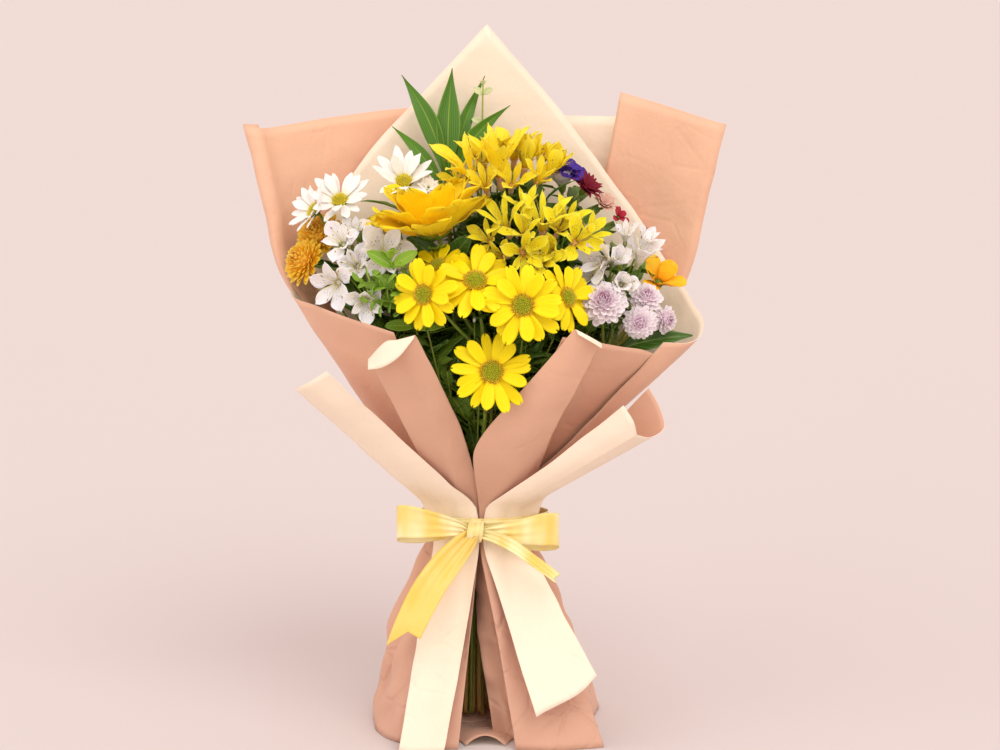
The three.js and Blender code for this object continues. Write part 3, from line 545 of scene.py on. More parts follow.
@dataclass(frozen=True)
class FloretFinish:
    """Small florets of a head, one colour in its middle and another at its rim."""

    name: str
    middle: str
    rim: str
    tip: str
    turn: float = 0.5
    tip_share: float = 0.6
    vary: float = 0.12

    def material(self) -> bpy.types.Material:
        """Builds the florets' material.

        Returns:
            The material.
        """
        s = Shader(self.name)
        along, across, chance = s.marks()
        outer = s.ring().eased(self.turn - 0.25, self.turn + 0.25)
        tone = s.mixed(outer, colour(self.middle), colour(self.rim))
        tone = s.mixed(along.eased(0.35, 1.0) * self.tip_share, tone, colour(self.tip))
        tone = s.mixed(chance * self.vary, tone, colour(self.middle))
        grain = s.noise(1500, 2)
        return s.surface(
            Base_Color=tone,
            Roughness=grain * 0.2 + 0.45,
            Normal=s.bump(grain * 0.6 + abs(across) * 0.4, 0.0002, 0.5),
            Subsurface_Weight=0.3,
            Subsurface_Radius=(0.004, 0.004, 0.004),
            Subsurface_Scale=0.7,
        )


@dataclass(frozen=True)
class GroundFinish:
    """A pale seamless studio surface with a hardly visible unevenness."""

    name: str = "studio_surface"
    tone: str = "d8d1d0"

    def material(self) -> bpy.types.Material:
        """Builds the surface's material.

        Returns:
            The material.
        """
        s = Shader(self.name)
        clouds = s.noise(2.2, 2)
        return s.surface(
            Base_Color=s.mixed(clouds * 0.05, colour(self.tone), colour("d8c0b8")),
            Roughness=clouds * 0.1 + 0.85,
            Normal=s.bump(clouds, 0.0002, 0.2),
            Specular_IOR_Level=0.1,
        )


class Finish(Enum):
    """Every finish of the bouquet; petals are given as root, middle and tip."""

    PINK_PAPER = PaperFinish("pink_paper_side", "d8ab92", "f2c3a2")
    CREAM_PAPER = PaperFinish("cream_paper_side", "fdeed8", "feefd8", 0.58, "d8b890", 0.35)
    SATIN = SatinFinish()
    LEMON_PETAL = PetalFinish(
        "lemon_petal_skin", "f8ca00", "ffe800", "fff010", vein="f4d200", veins=5, vein_share=0.25
    )
    GOLDEN_PETAL = PetalFinish(
        "golden_petal_skin", "ffcc0c", "ffde14", "ffe424", root_reach=0.25, vein="ffcc00", veins=9,
        vein_share=0.35, glow=0.35,
    )
    WHITE_PETAL = PetalFinish(
        "white_petal_skin", "eef0c0", "fbfaf6", "fefefc", vein="e6e4e0", veins=4, vein_share=0.35
    )
    LILY_PETAL = PetalFinish(
        "white_lily_petal_skin", "f4f2cc", "fffcf8", "fffdfb", vein="f0e8e4", veins=8, vein_share=0.35,
        streak="6a2c38", streak_range=(0.34, 0.62), edge="fffefd", glow=0.6,
    )
    YELLOW_LILY_PETAL = PetalFinish(
        "yellow_lily_petal_skin", "fcc21c", "ffe720", "fff04c", root_reach=0.35, tip_start=0.6, vein="f4b40e",
        veins=7, vein_share=0.4, streak="9a4a12", streak_range=(0.3, 0.6), glow=0.5,
    )
    LIME_LILY_PETAL = PetalFinish(
        "lime_lily_petal_skin", "eab414", "fcea1c", "fdf248", root_reach=0.35, vein="ecd412", veins=7,
        vein_share=0.4, streak="7a3c12", streak_range=(0.3, 0.65), edge="ecea50", glow=0.5,
    )
    LILY_TUBE = PetalFinish(
        "lily_tube_skin", "b4c468", "f8d6b4", "f8cc70", root_reach=0.5, tip_start=0.5, vein="d98a5a", veins=6,
        vein_share=0.7,
    )
    WHITE_TUBE = PetalFinish(
        "white_tube_skin", "8fae4c", "dfe2b4", "f0ebe2", root_reach=0.5, tip_start=0.5,
        vein="b7c27a", veins=6, vein_share=0.5,
    )
    PALE_CUP = PetalFinish(
        "pale_cup_skin", "d9dcc0", "ece5ea", "e6d9ee", vein="cfc2dc", veins=9, vein_share=0.4
    )
    VIOLET_PETAL = PetalFinish(
        "violet_petal_skin", "8a72c8", "4b2c9e", "3b1c8c", vein="2c1670", veins=7, vein_share=0.5
    )
    BURGUNDY_PETAL = PetalFinish("burgundy_petal_skin", "4c0a1a", "86182f", "9c2238", vein="5c0c20")
    BLUSH_PETAL = PetalFinish("blush_petal_skin", "b04a4a", "e9c2ae", "f3ddca", vein="d48a7c")
    RED_PETAL = PetalFinish("red_petal_skin", "8c1428", "b8283e", "c94a5c", vein="8c1428")
    FREESIA_PETAL = PetalFinish(
        "freesia_petal_skin", "fba80c", "ffcc1e", "ffd83a", root_reach=0.5, vein="f09c10", veins=8,
        vein_share=0.4,
    )
    DAISY_DISC = FloretFinish("daisy_floret_skin", "a8b820", "d4a010", "f0dc30", 0.7, 0.45)
    WHITE_DAISY_DISC = FloretFinish("white_daisy_floret_skin", "c4b81c", "d9c21c", "e8dc4a", 0.5)
    ORANGE_POMPON = FloretFinish("orange_pompon_skin", "e08e0c", "ffc41c", "ffe048", 0.35, 0.8)
    LILAC_POMPON = FloretFinish("lilac_pompon_skin", "ac4690", "fff2f8", "ffffff", 0.38, 0.85, 0.08)
    STAMEN = FloretFinish("stamen_skin", "d8cf6a", "d8cf6a", "6a3a18", 0.5, 0.9)
    DARK_LEAF = LeafFinish("dark_leaf_skin", "385a0c", "668e1e", "a2ba54")
    TALL_LEAF = LeafFinish("tall_leaf_skin", "306604", "50880c", "98bc38", 0.4, parallel=True)
    GLOSSY_LEAF = LeafFinish("glossy_leaf_skin", "2e5812", "548028", "98b664", 0.28)
    FRESH_LEAF = LeafFinish("fresh_leaf_skin", "6c9e1e", "93bf30", "c4dc70", 0.4)
    PALE_LEAF = LeafFinish("pale_leaf_skin", "b9c482", "dbe2b0", "eef0cc", 0.5)
    SEPAL = LeafFinish("sepal_skin", "4f7418", "7c9c2c", "a9c050", 0.5)
    STEM = StemFinish("green_stem_skin", "7c9a34", "a88a48", "6a5a24")
    WOODY_STEM = StemFinish("woody_stem_skin", "5a5a22", "6e5024", "3a2a12")
    PALE_STEM = StemFinish("pale_stem_skin", "9fb04a", "8a8f3c", "6c8228")
    FRESH_STEM = StemFinish("fresh_stem_skin", "86a834", "6a7c28", "56761c")
    GROUND = GroundFinish()

    @property
    def material(self) -> bpy.types.Material:
        """The finish's material, built when it is first asked for."""
        return bpy.data.materials.get(self.value.name) or self.value.material()


# ------------------------------------------------------------------ mesh data
@dataclass
class Shell:
    """Mesh data that can be turned, moved and joined before it becomes an object.

    Attributes:
        points: Corner positions in metres.
        corners: Every face's corner numbers, one face after another.
        sizes: The number of corners of each face.
        marks: Along, across and chance of each point.
        ring: Each point's share from the middle of its head.
        finishes: The finish of each face, as a number in palette.
        palette: The finishes in use.
    """

    points: np.ndarray
    corners: np.ndarray
    sizes: np.ndarray
    marks: np.ndarray
    ring: np.ndarray
    finishes: np.ndarray
    palette: list[Finish]

    @classmethod
    def of(
        cls,
        points: Way | np.ndarray,
        faces: Sequence[Sequence[int]],
        finish: Finish,
        marks: np.ndarray | None = None,
    ) -> "Shell":
        """Makes a shell from points and faces.

        Args:
            points: Corner positions.
            faces: Corner numbers of each face.
            finish: Its finish.
            marks: Along, across and chance of each point.

        Returns:
            The shell.
        """
        places = np.asarray(points, float)
        count = len(places)
        return cls(
            places,
            np.fromiter((k for face in faces for k in face), int),
            np.fromiter((len(face) for face in faces), int),
            np.zeros((count, 3)) if marks is None else np.asarray(marks, float),
            np.zeros(count),
            np.zeros(len(faces), int),
            [finish],
        )

    @classmethod
    def joined(cls, shells: Iterable["Shell"]) -> "Shell":
        """Joins several shells into one.

        Args:
            shells: The shells.

        Returns:
            One shell with all their faces.
        """
        parts = [shell for shell in shells if len(shell.points)]
        palette: list[Finish] = []
        finishes = []
        corners = []
        offset = 0
        for part in parts:
            for finish in part.palette:
                if finish not in palette:
                    palette.append(finish)
            numbers = np.array([palette.index(finish) for finish in part.palette])
            finishes.append(numbers[part.finishes])
            corners.append(part.corners + offset)
            offset += len(part.points)
        return cls(
            np.concatenate([part.points for part in parts]),
            np.concatenate(corners),
            np.concatenate([part.sizes for part in parts]),
            np.concatenate([part.marks for part in parts]),
            np.concatenate([part.ring for part in parts]),
            np.concatenate(finishes),
            palette,
        )

    @classmethod
    def read(cls, mesh: bpy.types.Mesh, finish: Finish) -> "Shell":
        """Reads a mesh that a node tree made.

        Args:
            mesh: The mesh.
            finish: Its finish.

        Returns:
            Its shell.
        """
        count = len(mesh.vertices)
        points = np.empty(count * 3)
        mesh.vertices.foreach_get("co", points)
        corners = np.empty(len(mesh.loops), int)
        mesh.loops.foreach_get("vertex_index", corners)
        sizes = np.empty(len(mesh.polygons), int)
        mesh.polygons.foreach_get("loop_total", sizes)
        marks = np.zeros(count * 3)
        if "marks" in mesh.attributes:
            mesh.attributes["marks"].data.foreach_get("vector", marks)
        marks = marks.reshape(-1, 3)
        ring = np.zeros(count)
        for name, target in (("chance", marks[:, 2]), ("ring", ring)):
            if name in mesh.attributes:
                values = np.empty(count)
                mesh.attributes[name].data.foreach_get("value", values)
                target[:] = values
        return cls(points.reshape(-1, 3), corners, sizes, marks, ring, np.zeros(len(sizes), int), [finish])

    def moved(self, place: Matrix) -> "Shell":
        """A copy turned and moved by a matrix."""
        grid = np.array(place)
        return replace(self, points=self.points @ grid[:3, :3].T + grid[:3, 3])

    def mesh(self, name: str) -> bpy.types.Mesh:
        """Makes a Blender mesh.

        Args:
            name: The mesh's name.

        Returns:
            The mesh, smooth, with its attributes and materials.
        """
        made = bpy.data.meshes.new(name)
        made.vertices.add(len(self.points))
        made.vertices.foreach_set("co", self.points.ravel())
        made.loops.add(len(self.corners))
        made.loops.foreach_set("vertex_index", self.corners)
        made.polygons.add(len(self.sizes))
        made.polygons.foreach_set("loop_start", np.concatenate([[0], np.cumsum(self.sizes)[:-1]]))
        for finish in self.palette:
            made.materials.append(finish.material)
        made.polygons.foreach_set("material_index", self.finishes)
        made.polygons.foreach_set("use_smooth", np.ones(len(self.sizes), bool))
        made.attributes.new("marks", "FLOAT_VECTOR", "POINT").data.foreach_set("vector", self.marks.ravel())
        made.attributes.new("ring", "FLOAT", "POINT").data.foreach_set("value", self.ring)
        made.update(calc_edges=True)
        made.validate()
        return made


def new_object(name: str, data: bpy.types.ID) -> bpy.types.Object:
    """Adds an object to the scene.

    Args:
        name: The object's name.
        data: Its mesh, lamp or camera.

    Returns:
        The object.
    """
    made = bpy.data.objects.new(name, data)
    bpy.context.scene.collection.objects.link(made)
    return made


def discard(thing: bpy.types.Object) -> None:
    """Removes an object and its mesh.

    Args:
        thing: The object, which nothing else uses.
    """
    mesh = thing.data
    bpy.data.objects.remove(thing)
    bpy.data.meshes.remove(mesh)


def add_piece(name: str, shells: Iterable[Shell], slot: str, *nodes: str) -> bpy.types.Object:
    """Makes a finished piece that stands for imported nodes.

    Args:
        name: The piece's name.
        shells: Its mesh data.
        slot: The record's material slot.
        *nodes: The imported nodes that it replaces.

    Returns:
        The piece's object.
    """
    shell = Shell.joined(shells)
    piece = new_object(name, shell.mesh(name))
    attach(piece, "root")
    if nodes:
        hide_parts(*nodes)
    triangles = int((shell.sizes - 2).sum())
    LOG.info("%s: %d triangles, slot %s, for %s", name, triangles, slot, ", ".join(nodes) or "no node")
    return piece


# ------------------------------------------------------------------ curves and grids
def unit(vectors: np.ndarray) -> np.ndarray:
    """Vectors at length 1."""
    return vectors / np.maximum(np.linalg.norm(vectors, axis=-1, keepdims=True), 1e-12)


def spline(points: Way | np.ndarray, at: np.ndarray) -> np.ndarray:
    """A smooth curve through points at even steps of its parameter.

    Args:
        points: The points that it passes.
        at: Parameters from 0 to 1.

    Returns:
        A point for each parameter.
    """
    knots = np.asarray(points, float)
    if knots.ndim == 1:
        return spline(knots[:, None], at)[:, 0]
    last = len(knots) - 1
    padded = np.vstack([2 * knots[0] - knots[1], knots, 2 * knots[-1] - knots[-2]])
    place = np.clip(np.asarray(at, float), 0, 1) * last
    k = np.minimum(place.astype(int), last - 1)
    t = (place - k)[:, None]
    a, b, c, d = padded[k], padded[k + 1], padded[k + 2], padded[k + 3]
    return 0.5 * (2 * b + (c - a) * t + (2 * a - 5 * b + 4 * c - d) * t**2 + (3 * b - a - 3 * c + d) * t**3)


def cornered(points: Way, corners: Sequence[int], at: np.ndarray) -> np.ndarray:
    """A curve through points that is smooth except at its sharp corners.

    Args:
        points: The points that it passes, at even steps.
        corners: The numbers of the points where it turns sharply.
        at: Parameters from 0 to 1.

    Returns:
        A point for each parameter.
    """
    knots = np.asarray(points, float)
    last = len(knots) - 1
    ends = sorted({0, last, *corners})
    result = np.empty((len(at), knots.shape[1]))
    for low, high in zip(ends[:-1], ends[1:]):
        inside = (at * last >= low - 1e-9) & (at * last <= high + 1e-9)
        share = (at[inside] * last - low) / (high - low)
        result[inside] = spline(knots[low : high + 1], share)
    return result


def by_length(points: np.ndarray, at: np.ndarray) -> np.ndarray:
    """Points of a run at shares of its length.

    Args:
        points: The run's own points.
        at: Shares from 0 to 1.

    Returns:
        A point for each share.
    """
    steps = np.linalg.norm(np.diff(points, axis=0), axis=1)
    length = np.concatenate([[0], np.cumsum(steps)])
    return np.stack([np.interp(at * length[-1], length, points[:, k]) for k in range(3)], axis=1)


def grid_normals(grid: np.ndarray) -> np.ndarray:
    """The normal at each point of a grid: down its rows crossed with along its columns."""
    return unit(np.cross(np.gradient(grid, axis=0), np.gradient(grid, axis=1)))


def sheet_shell(
    grid: np.ndarray,
    thickness: float,
    upper: Finish,
    lower: Finish,
    marks: np.ndarray | None = None,
) -> Shell:
    """A closed thin body on both sides of a grid of points.

    Args:
        grid: Rows by columns of points.
        thickness: The body's thickness.
        upper: The finish of the side that the grid's normals point to.
        lower: The finish of the other side.
        marks: The marks of each grid point.

    Returns:
        The body, with its rim in the upper finish.
    """
    rows, columns = grid.shape[:2]
    normals = grid_normals(grid)
    top = (grid + normals * thickness / 2).reshape(-1, 3)
    bottom = (grid - normals * thickness / 2).reshape(-1, 3)
    number = np.arange(rows * columns).reshape(rows, columns)
    a, b, c, d = number[:-1, :-1], number[:-1, 1:], number[1:, 1:], number[1:, :-1]
    face = np.stack([a, d, c, b], axis=-1).reshape(-1, 4)
    back = face[:, ::-1] + rows * columns
    edge = np.concatenate([number[0], number[1:, -1], number[-1, -2::-1], number[-2:0:-1, 0]])
    after = np.roll(edge, -1)
    rim = np.stack([edge, after, after + rows * columns, edge + rows * columns], axis=-1)
    if marks is None:
        along, across = np.meshgrid(np.linspace(0, 1, rows), np.linspace(-1, 1, columns), indexing="ij")
        marks = np.stack([along, across, np.zeros_like(along)], axis=-1)
    flat = marks.reshape(-1, 3)
    faces = np.concatenate([face, back, rim])
    sides = np.concatenate([np.zeros(len(face), int), np.ones(len(back), int), np.zeros(len(rim), int)])
    return Shell(
        np.concatenate([top, bottom]),
        faces.ravel(),
        np.full(len(faces), 4),
        np.concatenate([flat, flat]),
        np.zeros(2 * rows * columns),
        sides if upper is not lower else np.zeros(len(faces), int),
        [upper, lower] if upper is not lower else [upper],
    )


def frame_at(at: Point, face: Point) -> Matrix:
    """A frame at a place with its Z along a facing direction.

    Args:
        at: The place, in millimetres.
        face: The facing direction.

    Returns:
        The frame's matrix, in metres.
    """
    turn = Vector((0, 0, 1)).rotation_difference(Vector(face).normalized()).to_matrix().to_4x4()
    return Matrix.Translation(Vector(at) * MM) @ turn


def under(at: Point, face: Point, drop: float) -> Point:
    """The place straight behind a head, at a distance in millimetres."""
    return tuple(Vector(at) - Vector(face).normalized() * drop)


# ------------------------------------------------------------------ petals and leaves
ROWS_TO_TIP = 1.25       # rows lie closer together towards a blade's tip
LEAST_SHARE = 0.02       # of the full width, where the outline is narrowest
TIP_CUT = 0.995          # the round tip is cut a little short, so that it stays open
TIP_LEFT = 0.004
NOTCH_START = 0.55       # where the dents of the tip begin, as a share of the length


@dataclass(frozen=True)
class Blade:
    """One petal or leaf, growing along +X from the origin with its upper face to +Z.

    Attributes:
        length: Its length in millimetres.
        width: Its full width in millimetres.
        outline: Shares of the full width at even steps from root to tip.
        curl: How far it bends along its length, in degrees; never 0.
        cup: How hollow it is across, as a share of half its width.
        fold: How steeply its halves rise from the midrib.
        notch: The depth of the dents in its tip, as a share of its length.
        teeth: How many dents its tip has.
        grooves: How many ridges run along each half.
        groove: The ridges' height as a share of the width.
        wave: The height of the waves in its edges, as a share of the width.
        waves: How many waves an edge has.
        sway: How far it bends sideways, as a share of its length.
        thickness: Its thickness in millimetres.
        round_tip: How squarely it ends; a low number draws it to a point.
        rows: Its steps along.
        columns: Its steps across.
    """

    length: float
    width: float
    outline: tuple[float, ...] = (0.3, 0.75, 1.0, 0.95, 0.6)
    curl: float = -14.0
    cup: float = 0.12
    fold: float = 0.0
    notch: float = 0.0
    teeth: float = 1.0
    grooves: float = 2.0
    groove: float = 0.012
    wave: float = 0.0
    waves: float = 3.0
    sway: float = 0.0
    thickness: float = 0.35
    round_tip: float = 10.0
    rows: int = 11
    columns: int = 6

    def shell(self, finish: Finish, back: Finish | None = None) -> Shell:
        """Builds the blade.

        Args:
            finish: Its upper finish.
            back: Its lower finish, the same unless given.

        Returns:
            The blade as a closed thin body, in metres.
        """
        s = 1 - (1 - np.linspace(0, 1, self.rows + 1)) ** ROWS_TO_TIP
        t = np.linspace(-1, 1, self.columns + 1)
        share = np.maximum(spline(self.outline, s), LEAST_SHARE)
        share *= np.sqrt(np.maximum(1 - (s * TIP_CUT) ** self.round_tip, TIP_LEFT))
        half = 0.5 * self.width * share
        dents = 0.5 - 0.5 * np.cos(np.pi * t * self.teeth + np.pi)
        short = (self.notch * dents)[None, :] * np.maximum(s - NOTCH_START, 0)[:, None] / (1 - NOTCH_START)
        x = s[:, None] * (1 - short)
        y = half[:, None] * t[None, :] + self.sway * self.length * np.sin(np.pi * s)[:, None]
        lift = self.cup * half[:, None] * t[None, :] ** 2 + self.fold * half[:, None] * np.abs(t)[None, :]
        lift = lift + self.groove * self.width * np.cos(self.grooves * np.pi * t)[None, :] * share[:, None]
        edge = np.abs(t)[None, :] ** 2 * np.sin(2 * np.pi * self.waves * s + 1.0)[:, None]
        side = np.where(t < 0, -1.0, 1.0)[None, :]
        lift = lift + self.wave * self.width * edge * side
        bend = math.radians(self.curl)
        angle = bend * x
        radius = self.length / bend
        spine_x, spine_z = radius * np.sin(angle), radius * (1 - np.cos(angle))
        grid = np.stack([spine_x - lift * np.sin(angle), y, spine_z + lift * np.cos(angle)], axis=-1) * MM
        marks = np.stack([x, np.broadcast_to(t, x.shape), np.zeros_like(x)], axis=-1)
        # A grid's normal is down its rows crossed with along its columns: +X by +Y is +Z.
        return sheet_shell(grid, self.thickness * MM, finish, back or finish, marks)


def laid(shell: Shell, base: Point, tip: Point, normal: Point, length: float, chance: float) -> Shell:
    """Turns a blade so that it runs from base to tip.

    Args:
        shell: The blade's mesh.
        base: Its root, in millimetres.
        tip: Where its tip goes.
        normal: Roughly where its upper face looks.
        length: The blade's own length.
        chance: Its draw for the colour's variation.

    Returns:
        The blade in its place.
    """
    run = Vector(tip) - Vector(base)
    along = run.normalized()
    across = Vector(normal).cross(along).normalized()
    lift = along.cross(across).normalized()
    scale = run.length / length
    turn = Matrix((along, across, lift)).transposed().to_4x4()
    placed = shell.moved(Matrix.Translation(Vector(base) * MM) @ turn @ Matrix.Scale(scale, 4))
    placed.marks = placed.marks.copy()
    placed.marks[:, 2] = chance
    return placed


# ------------------------------------------------------------------ growing trees
SOCKET_KINDS = {float: "NodeSocketFloat", int: "NodeSocketInt", type(None): "NodeSocketObject"}


class Grower(Graph):
    """A geometry node tree with named inputs, run on mesh data."""

    def __init__(self, name: str, sizes: dict[str, float | int | None]) -> None:
        """Starts a tree.

        Args:
            name: The tree's name.
            sizes: Its named inputs with their defaults; None stands for an object input.
        """
        group = bpy.data.node_groups.new(name, "GeometryNodeTree")
        super().__init__(group)
        group.interface.new_socket("Geometry", in_out="INPUT", socket_type="NodeSocketGeometry")
        self.keys: dict[str, str] = {}
        for label, default in sizes.items():
            kind = SOCKET_KINDS[type(default)]
            socket = group.interface.new_socket(label, in_out="INPUT", socket_type=kind)
            if default is not None:
                socket.default_value = default
            self.keys[label] = socket.identifier
        socket = group.interface.new_socket("Finish", in_out="INPUT", socket_type="NodeSocketMaterial")
        self.keys["Finish"] = socket.identifier
        group.interface.new_socket("Geometry", in_out="OUTPUT", socket_type="NodeSocketGeometry")
        self.source = self.node("NodeGroupInput")

    def size(self, label: str) -> Value:
        """One of the tree's named inputs."""
        return self.value(self.source.outputs[label])

    def index(self) -> Value:
        """The number of each point."""
        return self.value(self.node("GeometryNodeInputIndex"))

    def chance(self, low: object, high: object, stream: int) -> Value:
        """A seeded draw for each point.

        Args:
            low: The least value.
            high: The greatest value.
            stream: Which of the tree's separate draws.

        Returns:
            The drawn numbers.
        """
        drawn = self.node(
            "FunctionNodeRandomValue",
            {"data_type": "FLOAT"},
            {2: low, 3: high, "Seed": self.size("Seed") + stream},
        )
        return self.value(drawn.outputs[1])

    def stored(self, geometry: object, name: str, value: object) -> bpy.types.Node:
        """Stores a named attribute on each point.

        Args:
            geometry: The geometry to store it on.
            name: The attribute's name.
            value: Its value; a Value is a number, and anything else a vector.

        Returns:
            The node.
        """
        kind = "FLOAT" if isinstance(value, Value) else "FLOAT_VECTOR"
        inputs = {"Geometry": geometry, "Name": name, "Value": value}
        return self.node("GeometryNodeStoreNamedAttribute", {"data_type": kind}, inputs)

    def read(self, name: str) -> bpy.types.NodeSocket:
        """A stored vector attribute."""
        found = self.node("GeometryNodeInputNamedAttribute", {"data_type": "FLOAT_VECTOR"}, {"Name": name})
        return found.outputs[0]

    def placed(self, points: object, rotation: object, size: object) -> bpy.types.Node:
        """Sets what the tree starts from on each point.

        Args:
            points: The points.
            rotation: The turn of each copy.
            size: The scale of each copy.

        Returns:
            The node.
        """
        shape = self.source.outputs["Geometry"]
        return self.node(
            "GeometryNodeInstanceOnPoints",
            inputs={"Points": points, "Instance": shape, "Rotation": rotation, "Scale": size},
        )

    def end(self, geometry: object) -> None:
        """Ends the tree in Realize Instances and Set Material.

        Args:
            geometry: What the tree has made.
        """
        real = self.node("GeometryNodeRealizeInstances", inputs={"Geometry": geometry})
        finish = self.source.outputs["Finish"]
        dressed = self.node("GeometryNodeSetMaterial", inputs={"Geometry": real, "Material": finish})
        self.node("NodeGroupOutput", inputs={0: dressed})

    def run(self, holder: bpy.types.Object, finish: Finish, sizes: dict[str, object]) -> Shell:
        """Runs the tree on an object and discards the object.

        Args:
            holder: An object with the mesh that the tree starts from.
            finish: The result's finish.
            sizes: The tree's inputs, with underscores for spaces.

        Returns:
            The result's mesh data.
        """
        modifier = holder.modifiers.new("grow", "NODES")
        modifier.node_group = self.tree
        modifier[self.keys["Finish"]] = finish.material
        for label, value in sizes.items():
            modifier[self.keys[label.replace("_", " ")]] = value
        graph = bpy.context.evaluated_depsgraph_get()
        mesh = bpy.data.meshes.new_from_object(holder.evaluated_get(graph), depsgraph=graph)
        result = Shell.read(mesh, finish)
        discard(holder)
        bpy.data.meshes.remove(mesh)
        return result

    def grow(self, base: Shell, finish: Finish, **sizes: object) -> Shell:
        """Runs the tree.

        Args:
            base: The mesh data that it starts from.
            finish: The result's finish.
            **sizes: Its inputs, with underscores for spaces.

        Returns:
            The result's mesh data.
        """
        start = base.mesh("growing")
        start.attributes.remove(start.attributes["ring"])
        return self.run(new_object("growing", start), finish, sizes)


def whorl_grower() -> Grower:
    """Builds the tree that sets blades round an axis, in one ring or over a whole head.

    Returns:
        The tree. Its blades stand at even turns; each size runs from the middle of the
        head to its rim with the square root of the blade's number.
    """
    g = Grower(
        "whorl_of_blades",
        {
            "Count": 12, "Turn": 0.0, "Start": 0.0, "Turn Jitter": 0.0,
            "Middle Radius": 0.0, "Rim Radius": 0.0, "Middle Lift": 0.0, "Rim Lift": 0.0, "Dome": 0.0,
            "Middle Rise": 0.0, "Rim Rise": 0.0, "Rise Jitter": 0.0, "Twist Jitter": 0.0,
            "Middle Size": 1.0, "Rim Size": 1.0, "Size Jitter": 0.0, "Bend Jitter": 0.0, "Seed": 1,
        },
    )
    number = g.index()
    share = ((number + 0.5) / g.size("Count")) ** 0.5

    def between(label: str) -> Value:
        """A size from its middle value to its rim value."""
        middle = g.size(f"Middle {label}")
        return middle + (g.size(f"Rim {label}") - middle) * share

    turn = number * g.size("Turn") + g.size("Start") + g.chance(-1.0, 1.0, 1) * g.size("Turn Jitter")
    radius = between("Radius")
    lift = between("Lift") + g.size("Dome") * (1 - share * share)
    rise = between("Rise") + g.chance(-1.0, 1.0, 2) * g.size("Rise Jitter")
    twist = g.chance(-1.0, 1.0, 3) * g.size("Twist Jitter")
    size = between("Size") * (1 + g.chance(-1.0, 1.0, 4) * g.size("Size Jitter"))
    place = g.vector(radius * turn.cosine(), radius * turn.sine(), lift)
    points = g.node("GeometryNodePoints", inputs={"Count": g.size("Count"), "Position": place})
    rotation = g.node("FunctionNodeEulerToRotation", inputs={0: g.vector(twist, 0 - rise, turn)})
    ring = g.stored(points, "ring", share)
    chance = g.stored(ring, "chance", g.chance(0.0, 1.0, 5))
    upward = g.node("FunctionNodeRotateVector", inputs={"Vector": (0, 0, 1), "Rotation": rotation})
    bend = g.scaled(upward, g.chance(-1.0, 1.0, 6) * g.size("Bend Jitter"))
    bent = g.stored(chance, "bend", bend)
    real = g.node("GeometryNodeRealizeInstances", inputs={"Geometry": g.placed(bent, rotation, size)})
    along = g.parts(g.read("marks"))[0]
    offset = g.scaled(g.read("bend"), along * along)
    g.end(g.node("GeometryNodeSetPosition", inputs={"Geometry": real, "Offset": offset}))
    return g


def stalk_grower() -> Grower:
    """Builds the tree that makes a round stem along a run of points.

    Returns:
        The tree.
    """
    g = Grower(
        "stem_along_points",
        {"Foot Radius": 0.002, "Tip Radius": 0.002, "Sides": 10, "Knobs": 0.0, "Step": 0.006, "Seed": 1},
    )
    run = g.node("GeometryNodeMeshToCurve", inputs={"Mesh": g.source.outputs["Geometry"]})
    even = g.node("GeometryNodeResampleCurve", {"mode": "LENGTH"}, {"Curve": run, "Length": g.size("Step")})
    factor = g.value(g.node("GeometryNodeSplineParameter").outputs["Factor"])
    marked = g.stored(even, "marks", g.vector(factor, 0.0, 0.0))
    radius = g.size("Foot Radius") + (g.size("Tip Radius") - g.size("Foot Radius")) * factor
    ring = g.node("GeometryNodeCurvePrimitiveCircle", inputs={"Resolution": g.size("Sides"), "Radius": 1.0})
    # The profile has a radius of 1, so its scale is the stem's radius in metres.
    tube = g.node(
        "GeometryNodeCurveToMesh",
        inputs={"Curve": marked, "Profile Curve": ring, "Fill Caps": True, "Scale": radius},
    )
    cloud = g.node(
        "ShaderNodeTexNoise",
        {"noise_dimensions": "4D"},
        {"W": g.size("Seed") * 3.1, "Scale": 160.0, "Detail": 2.0},
    )
    push = g.scaled(g.node("GeometryNodeInputNormal"), (g.value(cloud) - 0.5) * g.size("Knobs"))
    g.end(g.node("GeometryNodeSetPosition", inputs={"Geometry": tube, "Offset": push}))
    return g


